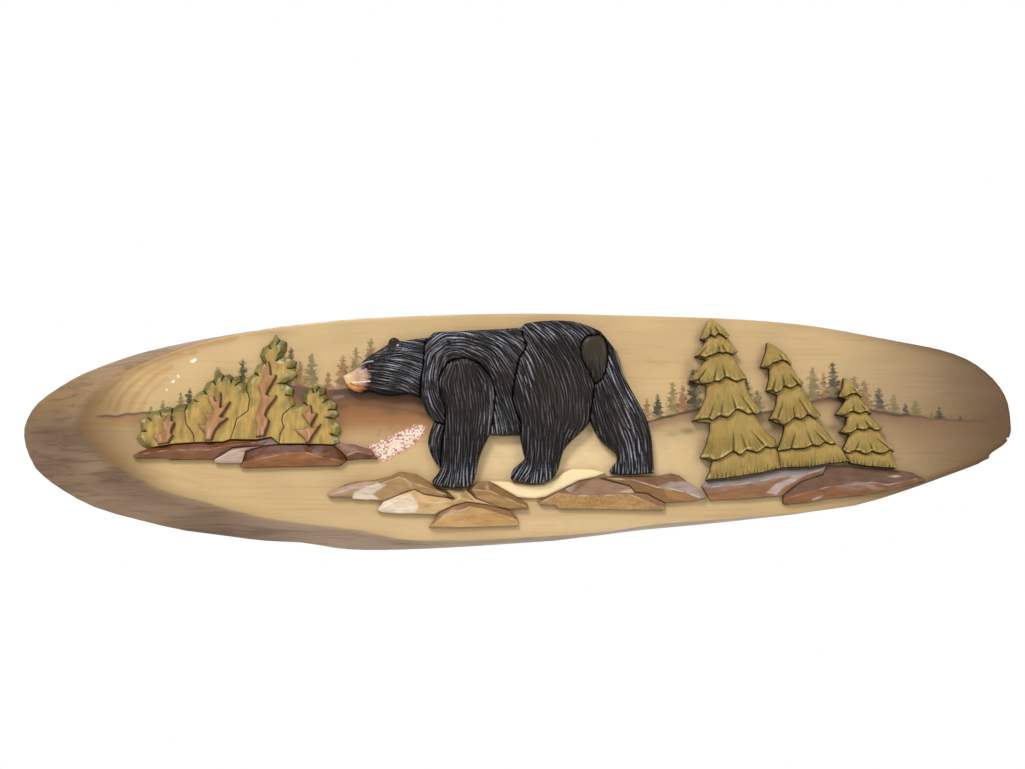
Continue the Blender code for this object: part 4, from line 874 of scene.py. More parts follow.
def furred(name, runs, strokes, relief, seed, extras=None, width=BODY_FUR, spacing=FUR_SPACING):
    """A rounded piece of the bear, combed with fine gouge strokes."""
    outline = chain(*runs, steps=2)
    loop = inset(grid_line(outline, MIDDLE_PLANE), KERF / 2)

    def shape(points, gap, cuts):
        share = np.clip(gap / BEAR_EDGE, 0, 1)
        swell = relief * (BEAR_RIM + (1 - BEAR_RIM) * np.sqrt(1 - (1 - share) ** 2))
        swell = rounded(swell, gap, *FUR_ROUND)
        fine = combed(points, strokes, MIDDLE_PLANE, width, FUR_REACH, seed)
        broad = combed(points, strokes, MIDDLE_PLANE, width * 2.8, FUR_REACH * 1.3, seed + 50)
        calm = smooth(noise_field(points, 0.022, seed + 9), -0.7, 0.7)
        u, v = grid_of(points, MIDDLE_PLANE)
        depth = 1 - 0.25 * near_spots(u, v, WORN_BROWN)
        colours = fur_paint(u, v, fine, broad, calm, gap)
        if extras:
            swell, depth, colours = extras(u, v, gap, swell, depth, colours, fine)
        cut = np.clip(fine, -1.7, 1.5) * (0.7 + 0.3 * calm) + 0.5 * np.clip(broad, -1.6, 1.6)
        edge = 0.35 + 0.65 * smooth(gap, 0.0003, 0.002)
        level = swell + (cut - 0.9) * FUR_CUT * depth * edge
        return level, colours

    carve(name, loop, spacing, shape, BEAR_SIDE, "bear_black")


def near_spots(u, v, spots):
    """How much a place belongs to any of several soft spots, from 0 to 1."""
    return np.clip(sum(spot(u, v, *each) for each in spots), 0, 1)


def fur_paint(u, v, fine, broad, calm, gap):
    """Black with painted shade in the cuts and at the seams, brown-black where it is worn, thin grey strokes
    on the crests that are partly the paint's own grey and partly painted highlight, and a painted sheen where
    the crests catch most light.
    """
    brown = near_spots(u, v, WORN_BROWN) * (0.6 + 0.4 * smooth(broad, -1, 1))
    base = blend(BLACK, WARM_BLACK, 0.15 + 0.85 * brown)
    # Painted shade in the cuts between the crests
    base = dimmed(base, 0.35 + 0.65 * smooth(fine, -1.2, 0.6))
    bright = near_spots(u, v, GLINTS)
    glint = 0.32 + 0.68 * bright - 0.12 * brown
    strokes = smooth(fine, 0.35 - 0.30 * bright, 1.35) * glint * (0.25 + 0.75 * calm)
    strokes = strokes * smooth(gap, 0.0002, 0.0008) * (0.45 + 0.55 * smooth(broad, -0.8, 0.7))
    # Painted sheen where the crests catch most light, then grey strokes that are partly painted highlight
    base = blend(base, CLUMP_SHEEN_GREY, 0.40 * bright * smooth(broad, 0.3, 1.5))
    colours = blend(base, GREY_STROKE_AND_GLINT, strokes * 0.78)
    # Painted shade along the seams between the bear's pieces
    return dimmed(colours, 0.7 + 0.3 * smooth(gap, 0.0, 0.0006))


def spot(u, v, at_u, at_v, wide, tall):
    """1 at a place on the grid, falling softly to 0 over its width and height."""
    return np.exp(-((u - at_u) / wide) ** 2 - ((v - at_v) / tall) ** 2)


def dimmed(colours, factor):
    """Colours times one factor for each point."""
    return colours * factor[:, None]


def layered(colours, layers):
    """Lays paints over colours one after another, each with its cover from 0 to 1."""
    for paint, cover in layers:
        colours = blend(colours, paint, cover)
    return colours


def near_line(u, v, line, wide):
    """1 on a line on the grid, falling to 0 at a width from it."""
    return smooth(1 - edge_distance(np.column_stack([u, v]), line, False) / wide, 0, 0.8)


# The head's drawing, on the grid
MOUTH = [(351, 384.0), (355, 386.0), (360, 386.6), (366, 386.0), (369.5, 384.8)]
MOUTH_GLINT = [(353, 383.2), (358, 382.8), (364, 382.4), (370.5, 381.8)]
NOSE = [(341.6, 375.2), (343.2, 379.0), (345.0, 383.6), (346.8, 386.6)]
BROW = [(360.2, 366.0), (364.4, 363.8), (368.8, 362.4), (373.4, 361.6)]
UPPER_LID = [(366.0, 366.4), (368.6, 364.6), (372.0, 364.6), (374.6, 366.6)]
TEAR_LINE = [(359.6, 373.4), (363.0, 371.8), (366.8, 369.4)]
JAW_LINE = [(366, 387.5), (378, 389.5), (395, 389.5), (420, 392.5)]
# Where the tan muzzle ends: height on the grid, then place
MUZZLE_END = [(364, 359.5), (368, 363.5), (371, 368.5), (376, 371.5), (380, 370), (384, 369),
              (388, 366.5), (392, 364)]
# Soft spots of the head: place, width, height
SOCKET_GREY = (364.0, 369.0, 3.6, 2.6)
SOCKET_DARK = (370.6, 367.0, 4.6, 3.6)
SOCKET_HOLLOW = (366.5, 369, 4.5, 2.8)
EYE_CALM = (369.8, 367.6, 5, 4)
IRIS = (369.8, 367.6, 1.7, 1.3)
PUPIL = (369.8 - 0.4, 367.6 + 0.1, 0.9, 0.9)
EAR_HOLLOW = (396.4, 345.6, 3.0, 3.6)
EAR_GLINT = (398, 345.8, 1.4, 1.4)
# Spans on the grid over which one paint or depth gives way to another
PINK_SPAN = (347, 357)
PINK_LEVEL = 376
MUZZLE_CUT_SPAN = (352, 360)
LIP_SPAN = (353, 367)
CHIN_SPAN = (388.5, 391.5)
JAW_SPAN = (366, 371)
SMOOTH_END = 372.5
FOREHEAD = (384, 351)
EAR_MIDDLE = (395.5, 344.2)
EAR_TOP = 340
EAR_BASE = 352.5
TAIL_SPAN = (352, 374)
PAW_SPAN = (462, 474)

MUZZLE_PALE = paint_of(232, 198, 142)
MUZZLE_PINK = paint_of(206, 164, 136)
MUZZLE_EDGE = paint_of(112, 84, 72)
LIP_LIGHT = paint_of(224, 156, 88)
LIP_DARK = paint_of(136, 76, 40)
CHIN_BROWN = paint_of(150, 96, 60)
# Painted highlight along the upper lip, over the mouth
MOUTH_HIGHLIGHT = paint_of(252, 242, 228)
NOSE_BLACK = paint_of(18, 14, 13)
LID_GREY = paint_of(104, 90, 86)
SOCKET_BLACK = paint_of(8, 7, 7)
TEAR_LIGHT = paint_of(214, 206, 200)
# Painted highlight along the brow
BROW_HIGHLIGHT = paint_of(206, 200, 194)
IRIS_BROWN = paint_of(122, 70, 60)
PUPIL_BLACK = paint_of(8, 6, 6)
LID_BLACK = paint_of(9, 8, 8)
FOREHEAD_BROWN = paint_of(50, 37, 31)
# Painted highlight on the ear
EAR_HIGHLIGHT = paint_of(200, 200, 206)
TAIL_BROWN = paint_of(60, 50, 40)
BEAR_SIDE = paint_of(16, 12, 10)


def head_details(u, v, gap, swell, depth, colours, fine):
    """Tan muzzle, nose, mouth, eye with its brow, and the ear."""
    ragged = along(v, MUZZLE_END) + 1.8 * np.clip(fine, -1.5, 1.5) + 1.0 * np.sin(v * 1.7) - u
    snout = smooth(ragged, -1.0, 2.0)
    upper = blend(MUZZLE_PALE, MUZZLE_PINK, smooth(u + (PINK_LEVEL - v) * 0.4, *PINK_SPAN))
    # Painted shade in the fur cuts towards the back of the muzzle
    upper = dimmed(upper, 1 - 0.20 * smooth(fine, -0.2, -1.2) * smooth(u, *MUZZLE_CUT_SPAN))
    upper = blend(upper, MUZZLE_EDGE, 0.75 * smooth(6.0 - ragged, 0, 5))
    lower = blend(LIP_LIGHT, LIP_DARK, smooth(u, *LIP_SPAN))
    below = smooth(v - along(u, MOUTH), -0.5, 0.5)
    iris = spot(u, v, *IRIS)
    colours = layered(colours, [
        (blend(upper, lower, below), snout),
        (LIP_DARK, 0.8 * snout * near_line(u, v, MOUTH, 1.1)),
        (CHIN_BROWN, 0.5 * snout * smooth(v, *CHIN_SPAN)),
        # Painted highlight over the mouth
        (MOUTH_HIGHLIGHT, 0.8 * near_line(u, v, MOUTH_GLINT, 0.85)),
        (NOSE_BLACK, near_line(u, v, NOSE, 1.5)),
        (LID_GREY, 0.8 * spot(u, v, *SOCKET_GREY)),
        (SOCKET_BLACK, 0.95 * smooth(spot(u, v, *SOCKET_DARK), 0.15, 0.6)),
        (TEAR_LIGHT, 0.75 * near_line(u, v, TEAR_LINE, 0.8)),
        # Painted highlight along the brow
        (BROW_HIGHLIGHT, 0.85 * near_line(u, v, BROW, 0.8)),
        (IRIS_BROWN, smooth(iris, 0.3, 0.6)),
        (PUPIL_BLACK, smooth(spot(u, v, *PUPIL), 0.3, 0.6)),
        (LID_BLACK, near_line(u, v, UPPER_LID, 0.9))])
    swell = swell - 0.0008 * snout * near_line(u, v, MOUTH, 1.6)
    swell = swell + 0.0008 * near_line(u, v, BROW, 2.4) - 0.0007 * spot(u, v, *SOCKET_HOLLOW)
    swell = swell + 0.0008 * smooth(iris, 0.25, 0.7)
    depth = depth * (1 - 0.93 * smooth(SMOOTH_END - u, 0, 7)) * (1 - 0.8 * spot(u, v, *EYE_CALM))
    beside, below_top = u - FOREHEAD[0], v - FOREHEAD[1]
    forehead = smooth(1 - np.hypot(beside / 13, (below_top + beside * 0.55) / 4.5), 0, 0.5)
    from_ear = u - EAR_MIDDLE[0], v - EAR_MIDDLE[1]
    ear = smooth(1 - np.hypot(from_ear[0] / 7.0, from_ear[1] / 8.0), 0, 0.4)
    plain = np.maximum(forehead, ear)
    colours = blend(colours, FOREHEAD_BROWN, 0.85 * plain)
    depth = depth * (1 - 0.9 * plain)
    around = np.hypot(from_ear[0] / 5.8, from_ear[1] / 6.8)
    rim = smooth(1 - abs(around - 1) / 0.35, 0, 1) * smooth(EAR_BASE - v, 0, 2)
    swell = swell + 0.0009 * rim - 0.0007 * spot(u, v, *EAR_HOLLOW)
    # Painted shade in the crease round the ear
    crease = smooth(1 - abs(around - 1.25) / 0.22, 0, 1) * (v > EAR_TOP)
    colours = dimmed(colours, 1 - 0.45 * crease)
    # Painted highlight on the ear
    colours = blend(colours, EAR_HIGHLIGHT, 0.8 * smooth(spot(u, v, *EAR_GLINT), 0.3, 0.8))
    jaw = smooth(v - along(u, JAW_LINE), 0, 2.6) * smooth(u, *JAW_SPAN)
    return swell, depth, dimmed(colours, 1 - 0.8 * jaw)


def tail_details(u, v, gap, swell, depth, colours, fine):
    """The tail patch is smooth above and grooved towards its lower point."""
    low = smooth(v, *TAIL_SPAN)
    plain = TAIL_BROWN * np.ones((len(u), 1))
    # Painted shade along the tail's rim
    plain = dimmed(plain, 0.8 + 0.2 * smooth(gap, 0.0, 0.0008))
    colours = blend(plain, colours, 0.75 * low)
    return swell - 0.0003, depth * low, colours


def legs_details(u, v, gap, swell, depth, colours, fine):
    """Toes are parted by deeper cuts, and the paws take paler strokes that are partly painted highlight."""
    paw = smooth(v, *PAW_SPAN)
    # Paler strokes at the paws, partly painted highlight
    colours = blend(colours, GREY_STROKE_AND_GLINT, 0.30 * paw * smooth(fine, 0.2, 1.4))
    return swell, depth * (1 + 0.5 * paw), colours


def bear():
    """The bear's seven pieces, each from the runs that make up its outline."""
    head = [HEAD_ABOVE, EAR, NAPE, NECK, HEAD_BELOW]
    fore = [BACK, WAIST, BELLY, SHOULDER[::-1], ARMPIT[::-1], CHEST, NECK[::-1]]
    near_fore = [SHOULDER, NEAR_FORE_PAW, FORELEGS]
    far_fore = [ARMPIT, FORELEGS[::-1], FAR_FORE_FRONT[::-1]]
    hind = [RUMP_TOP, CROUP[::-1], TAIL_NEAR[::-1], HAUNCH[::-1], HIND_FRONT[::-1], WAIST[::-1]]
    far_hind = [FAR_HIND_BACK, FAR_HIND_FRONT, HAUNCH, TAIL_FAR[::-1], CROUP]
    furred("bear_head", head, FUR_HEAD, BEAR_RELIEF * 0.95, 11, head_details, HEAD_FUR, HEAD_SPACING)
    furred("bear_forequarter", fore, FUR_FORE, BEAR_RELIEF, 12)
    furred("bear_near_foreleg", near_fore, FUR_NEAR_FORE, BEAR_RELIEF * 1.12, 13, legs_details)
    furred("bear_far_foreleg", far_fore, FUR_FAR_FORE, BEAR_RELIEF * 0.8, 14, legs_details)
    furred("bear_hindquarter", hind, FUR_HIND, BEAR_RELIEF * 1.08, 15, legs_details)
    furred("bear_far_hind_leg", far_hind, FUR_FAR_HIND, BEAR_RELIEF * 0.9, 16, legs_details)
    furred("bear_tail", [TAIL_NEAR, TAIL_FAR], FUR_TAIL, BEAR_RELIEF, 17, tail_details)


def notches_of(loop):
    """Corners where a loop bends inward, such as the cuts between leaves."""
    side = side_of(loop)
    found = []
    for i, here in enumerate(loop):
        before, after = Vector(loop[i - 1]), Vector(loop[(i + 1) % len(loop)])
        turn = (Vector(here) - before).cross(after - Vector(here)) * side
        if turn < 0:
            found.append(i)
    return found


# Width of the scooped leaves, how ragged their inner edge is, and how deep each is hollowed and tilted
LEAF_BEVEL = 0.0058
LEAF_RAGGED = 0.0010
LEAF_HOLLOW = 0.0013
LEAF_TILT = 0.30
LEAF_RIPPLE = 0.00012
CUT_WIDTH = 0.0010
CUT_SHADE = 0.0012
LEAF_GOLD = paint_of(190, 158, 88)
LEAF_GREEN = paint_of(132, 124, 54)
# Painted highlight on leaves that face the light and along the lip of the bevel
LEAF_HIGHLIGHT = paint_of(220, 220, 184)
# Painted shade over the top and right of a bush and on leaves turned from the light
OLIVE_SHADE = paint_of(98, 90, 36)
# Painted shade in the cuts and along the rim, and also the colour of the sides
LEAF_SHADE_DARK = paint_of(66, 58, 24)


def bush(name, leafy, rest, seed):
    """A bush: a streaked golden middle, and a green rim of scooped leaves parted by cuts."""
    outline = chain(leafy, *rest)
    loop = inset(grid_line(outline, LEFT_PLANE), KERF / 2)
    coarse = loop[:len(leafy)]
    notches = [k for k in notches_of(loop) if 0 < k < len(leafy) - 1]
    middle = np.mean(np.array(loop), axis=0)
    draw = random.Random(seed)
    cuts = []
    for k in notches:
        here = np.array(loop[k])
        inward = np.array(inset(loop, LEAF_DEPTH)[k]) - here
        inward = inward / np.linalg.norm(inward) + (middle - here) / np.linalg.norm(middle - here) * 0.5
        inward = inward / np.linalg.norm(inward)
        aside = np.array([-inward[1], inward[0]]) * draw.uniform(-0.0009, 0.0009)
        reach = LEAF_DEPTH * draw.uniform(0.55, 0.85)
        cuts.append([tuple(here), tuple(here + inward * reach * 0.5 + aside), tuple(here + inward * reach)])
    lobes = [np.mean(np.array(coarse[a:b + 1]), axis=0) for a, b in
             zip([0] + notches, notches + [len(leafy) - 1])]
    tilts = [(draw.uniform(-1, 1), draw.uniform(-1, 1)) for lobe in lobes]
    shine = np.array([draw.random() for lobe in lobes])

    def shape(points, gap, cut_places):
        leaf_gap = edge_distance(points, coarse, False)
        ragged = leaf_gap + LEAF_RAGGED * noise_field(points, 0.008, seed + 2)
        bevel = smooth(ragged / LEAF_BEVEL, -0.25, 1.0)
        level = BUSH_RELIEF * (0.42 + 0.58 * bevel)
        # Each point of the green rim belongs to the leaf nearest to it
        away = np.array([np.linalg.norm(points - lobe, axis=1) for lobe in lobes])
        owner = away.argmin(0)
        offset = points - np.array(lobes)[owner]
        reach = np.linalg.norm(offset, axis=1)
        weight = 1 - smooth(ragged, LEAF_BEVEL * 0.7, LEAF_BEVEL * 1.5)
        level = level + (np.array(tilts)[owner] * offset).sum(1) * LEAF_TILT * weight
        level = level - LEAF_HOLLOW * weight * smooth(reach, 0.0055, 0.0005)
        # The cuts between leaves, and fine ripples over everything
        cut_gap = np.full(len(points), FAR)
        for cut in cuts:
            cut_gap = np.minimum(cut_gap, edge_distance(points, cut, False))
        fade = 1 - smooth(leaf_gap, LEAF_DEPTH * 0.5, LEAF_DEPTH * 0.85)
        level = level - LEAF_CUT * 0.75 * fade * np.clip(1 - cut_gap / CUT_WIDTH, 0, 1)
        turn = np.arctan2(offset[:, 1], offset[:, 0]) * 14
        ripple = np.sin(turn + seed + 2 * noise_field(points, 0.02, seed))
        level = level + LEAF_RIPPLE * ripple * weight
        upright = noise_field(points, 0.0055, seed + 15, (1.0, 0.28))
        level = level + 0.00013 * noise_field(points, 0.006, seed + 3) + 0.00022 * upright
        level = rounded(level, gap, *LEAF_ROUND)
        level = np.clip(level, BUSH_RELIEF * 0.25, BUSH_RELIEF)
        # Paint: gold with stains, green at the rim, painted olive shade above and on leaves turned from the
        # light, and painted highlight where a leaf faces the light
        rough = smooth(noise_field(points, 0.012, seed + 5), -0.9, 0.9)
        green = (1 - smooth(ragged, LEAF_BEVEL * 0.55, LEAF_BEVEL * 1.6)) * (0.55 + 0.45 * rough)
        stains = smooth(noise_field(points, 0.010, seed + 11, (1.0, 0.4)), 0.0, 1.0)
        colours = blend(LEAF_GOLD * 1.05, LEAF_GOLD * np.array([0.72, 0.76, 0.66]), stains)
        # Lighter on the raised upright flutes and darker between them: painted shade
        colours = dimmed(colours, 1 + 0.13 * np.clip(upright, -1.5, 1.5))
        colours = blend(colours, LEAF_GREEN, green)
        # Painted shade in olive over the top and right side, and on leaves turned from the light
        crown = smooth(points[:, 1] - (points[:, 1].max() - 0.026), -0.012, 0.022)
        rightward = smooth(points[:, 0] - middle[0], -0.008, 0.012)
        shade = np.clip(crown * (0.35 + 0.65 * rightward) * (0.5 + 0.5 * green), 0, 1)
        colours = blend(colours, OLIVE_SHADE, 0.85 * shade)
        colours = blend(colours, OLIVE_SHADE, 0.5 * weight * smooth(shine[owner], 0.35, 0.1))
        # Painted highlight where a leaf faces the light and along the bevel's lip
        facing = smooth(-offset[:, 0] * 0.6 + offset[:, 1], -0.0015, 0.0025)
        pale = weight * facing * smooth(shine[owner], 0.30, 0.75) * smooth(reach, 0.0065, 0.0015)
        pale = pale * (1 - shade) * (0.4 + 0.6 * smooth(noise_field(points, 0.005, seed + 17), -0.6, 0.5))
        colours = blend(colours, LEAF_HIGHLIGHT, 0.85 * pale)
        lip = np.exp(-((ragged - LEAF_BEVEL * 1.05) / 0.0006) ** 2)
        lip = lip * smooth(noise_field(points, 0.01, seed + 13), -0.3, 0.6)
        colours = blend(colours, LEAF_HIGHLIGHT, 0.40 * lip)
        # Painted shade in the cuts between leaves and along the rim
        colours = blend(colours, LEAF_SHADE_DARK, 0.9 * smooth(1 - cut_gap / CUT_SHADE, 0, 0.8) * fade)
        return level, blend(LEAF_SHADE_DARK, colours, smooth(gap, -0.0003, 0.0006))

    carve(name, loop, LEAF_SPACING, shape, LEAF_SHADE_DARK * 0.6, "bush_green")


def faceted(points, loop, rim_level, crest_lines, crest_level, soften=0.0007):
    """Heights of flat facets between a rim and crest lines, their ridges a little worn."""
    flat = [tuple(p) for p in loop]
    level = [rim_level] * len(loop)
    fences = []
    for line in crest_lines:
        start = len(flat)
        flat += [tuple(p[:2]) for p in line]
        level += [crest_level] * len(line)
        fences += [(start + k, start + k + 1) for k in range(len(line) - 1)]
    fill = delaunay_2d_cdt([Vector(p) for p in flat], fences, [list(range(len(loop)))], 1, 1e-7)
    corners = np.array([(p.x, p.y) for p in fill[0]])
    tops = np.array([level[source[0]] if source else crest_level for source in fill[3]])
    total = np.zeros(len(points))
    offsets = [(0, 0)] + [(soften * math.cos(a), soften * math.sin(a)) for a in np.arange(6) * math.pi / 3]
    for offset in offsets:
        here = points + np.array(offset)
        found = np.full(len(points), np.nan)
        for face in fill[2]:
            a, b, c = corners[list(face)]
            det = (b[0] - a[0]) * (c[1] - a[1]) - (c[0] - a[0]) * (b[1] - a[1])
            if abs(det) < 1e-14:
                continue
            s = ((here[:, 0] - a[0]) * (c[1] - a[1]) - (c[0] - a[0]) * (here[:, 1] - a[1])) / det
            t = ((b[0] - a[0]) * (here[:, 1] - a[1]) - (here[:, 0] - a[0]) * (b[1] - a[1])) / det
            hit = (s >= -1e-6) & (t >= -1e-6) & (s + t <= 1 + 1e-6)
            value = tops[face[0]] * (1 - s - t) + tops[face[1]] * s + tops[face[2]] * t
            found[hit] = value[hit]
        found[np.isnan(found)] = rim_level
        total += found
    return total / len(offsets)


BRANCH_BROWN = paint_of(182, 134, 88)
BRANCH_PALE = paint_of(220, 190, 160)
BRANCH_SHADE = paint_of(70, 38, 18)


def branches():
    """Each branch is glued on its bush, with painted shade along its right and lower edges and round its rim.
    """
    for number, (name, outline) in enumerate(BRANCHES.items()):
        foot = BUSH_RELIEF + GLUE_GAP
        loop = inset(grid_line(outline, foot + BRANCH_RELIEF), KERF)

        def shape(points, gap, cut_places):
            level = foot + BRANCH_RELIEF * (0.55 + 0.45 * smooth(gap, -0.0004, 0.0018))
            level = level + 0.00018 * noise_field(points, 0.007, number + 30)
            level = np.minimum(level, foot + BRANCH_RELIEF)
            tone = smooth(noise_field(points, 0.008, number + 40, (1.0, 0.4)), -1, 1)
            colours = blend(BRANCH_BROWN * 0.82, BRANCH_BROWN * 1.12, tone)
            low = 1 - smooth(points[:, 1] - points[:, 1].min(), 0.008, 0.022)
            streak = smooth(noise_field(points, 0.004, number + 45, (1.0, 0.25)), 0.1, 1.0)
            colours = blend(colours, BRANCH_PALE, 0.65 * low * streak * smooth(gap, 0.0008, 0.002))
            # Painted shade along the right and lower edges, as cast by a light from the upper left, and round
            # the rim
            beside = points + np.array([0.0009, -0.0006])
            near = smooth(0.0006 - edge_distance(beside, loop), -0.0006, 0.0006)
            shaded = np.where(inside(beside, loop), near, 1)
            colours = blend(colours, BRANCH_SHADE, 0.85 * shaded)
            colours = blend(BRANCH_SHADE, colours, smooth(gap, -0.0002, 0.0005))
            return level, colours

        carve(name, loop, BRANCH_SPACING, shape, BRANCH_SHADE * 0.7, "branch_brown", foot=foot)


# Rock paints: above and below the ridge, the pale ridge line that is partly wear and partly painted
# highlight, then patches as outline, strength and paint. Some patches are painted gloss reflections and the
# paw shade is painted shadow under the bear's forepaw; the rest are facets of another colour
PAW_SHADE = (96, 70, 44)
ROCK_PAINTS = {
    "rock_left_long": ((116, 66, 26), (136, 92, 64), (190, 156, 138), [
        # The grey patch at the right end is a painted gloss reflection
        ([(258, 441), (268, 437.5), (274, 436.5), (278, 443), (268, 445.5), (259, 446)],
         0.75, (150, 132, 128)),
        ([(176, 451), (200, 447), (240, 447), (215, 452.5), (185, 454)], 0.35, (150, 108, 84))]),
    "rock_left_pale": ((176, 146, 130), (204, 176, 158), (226, 206, 190), [
        ([(214, 460), (220, 453.5), (231, 450), (241, 451), (238, 458), (234, 462)], 0.45, (208, 184, 168))]),
    "rock_left_broad": ((96, 50, 12), (148, 100, 64), (196, 158, 138), [
        ([(250, 459), (263, 454.5), (290, 452), (330, 453), (320, 458), (280, 460)], 0.45, (168, 112, 70))]),
    "rock_left_end": ((136, 100, 82), (126, 84, 58), (206, 184, 170), [
        ([(336, 443), (345, 443.5), (356, 449), (350, 453), (343, 449)], 0.5, (164, 142, 134))]),
    "rock_middle_peak": ((150, 114, 68), (178, 142, 98), (232, 210, 178), [
        ([(325, 493.5), (341, 486.6), (366, 481), (378, 482), (363.4, 487.5), (349, 493.8), (334, 497)],
         0.75, (196, 166, 146)),
        ([(351, 500), (353.6, 492.4), (363.4, 487.7), (377.4, 483), (386, 484.4), (377.4, 490.8),
          (371.8, 493.8), (379, 499)], 0.8, (232, 216, 196)),
        ([(399.5, 471), (416, 490), (432, 505), (425, 505), (411, 489)], 0.55, (206, 178, 140)),
        ([(430, 483), (436, 484), (456, 499), (452, 501), (443, 495)], 0.85, PAW_SHADE)]),
    "rock_middle_pale": ((220, 184, 130), (222, 186, 132), (240, 222, 188), [
        ([(376, 511), (380, 502), (391.5, 496.4), (411, 493.6), (419, 506.5), (414, 512), (391.5, 513.6)],
         0.85, (246, 230, 206)),
        ([(430, 483), (436, 484), (456, 499), (452, 501), (443, 495)], 0.85, PAW_SHADE),
        ([(450, 489), (460, 487), (468, 494), (475, 501), (462, 497)], 0.6, (150, 112, 66))]),
    "rock_middle_slope": ((144, 108, 62), (166, 130, 80), (220, 194, 154), [
        ([(462, 484), (468, 484), (478, 499), (474, 500)], 0.85, PAW_SHADE),
        ([(474, 496), (490, 495), (510, 501), (488, 501)], 0.5, (200, 164, 116))]),
    "rock_middle_small": ((146, 106, 68), (208, 166, 108), (226, 196, 156), [
        ([(440, 516), (452, 509), (458, 510), (446, 519)], 0.5, (206, 174, 134)),
        ([(462, 524), (470, 514), (500, 513), (516, 523), (490, 525)], 0.35, (176, 134, 82))]),
    "rock_right_front": ((148, 112, 82), (188, 146, 92), (224, 194, 158), [
        ([(557, 492), (575, 482.5), (586, 478.5), (597, 476.5), (588, 482), (573, 493.5)],
         0.7, (122, 86, 54)),
        ([(573, 493.5), (592, 480), (612, 481), (632, 485.5), (641, 491.5), (600, 494.5)],
         0.45, (166, 132, 112)),
        ([(618, 492), (632, 488.5), (640, 490), (630, 493)], 0.6, (222, 196, 176))]),
    # The first patch is a grey facet with painted gloss reflection
    "rock_right_rear": ((130, 94, 60), (150, 110, 66), (228, 210, 196), [
        ([(656, 487), (670, 482), (688, 481), (700, 487), (707.5, 497), (697.8, 498.5), (684, 491.5),
          (668, 490)], 0.7, (184, 166, 158)),
        ([(664, 489), (684, 494), (702, 500), (690, 502), (668, 497)], 0.5, (186, 138, 84)),
        ([(628, 480), (650, 477), (672, 484), (660, 489), (640, 486)], 0.4, (116, 82, 52))]),
    # The grey patches are painted gloss reflections
    "rock_far_tall": ((150, 142, 140), (152, 112, 80), (214, 194, 188), [
        ([(706, 487), (740, 481), (760, 482), (730, 490), (712, 492)], 0.55, (160, 132, 126)),
        ([(768, 492), (776, 484), (792, 477.5), (808, 474), (798, 480), (786, 486), (778, 494)],
         0.75, (200, 182, 178)),
        ([(750, 483), (768, 477), (790, 473), (776, 480), (760, 486)], 0.4, (176, 154, 150)),
        ([(708, 490), (726, 493), (752, 490), (746, 497), (716, 499)], 0.45, (166, 112, 70))]),
    # The grey and whitish patches are painted gloss reflections
    "rock_far_low": ((116, 86, 68), (142, 98, 66), (204, 180, 174), [
        ([(836, 486), (858, 481), (878, 484), (862, 490), (842, 491)], 0.5, (158, 134, 128)),
        ([(860, 483), (871, 484), (886, 488.5), (874, 489)], 0.45, (176, 156, 148)),
        ([(889, 476), (896, 474.6), (902, 475.6), (897, 477)], 0.65, (222, 208, 202)),
        ([(786, 497), (812, 490), (832, 492), (812, 500), (790, 502)], 0.4, (160, 108, 70)),
        ([(813, 498.6), (824, 495.4), (820, 498.2), (815, 500)], 0.7, (206, 186, 178))]),
}


# A rock with the pits of a pointed tool, and how they are spread
PITTED = "rock_right_front"
PITS = 240
PIT_SPANS = ((545, 660), (493, 508))
PIT_SIZE = (0.8, 0.7)
DARK_ROCKS = ("rock_left_long", "rock_left_broad", "rock_left_end", "rock_far_tall", "rock_far_low")


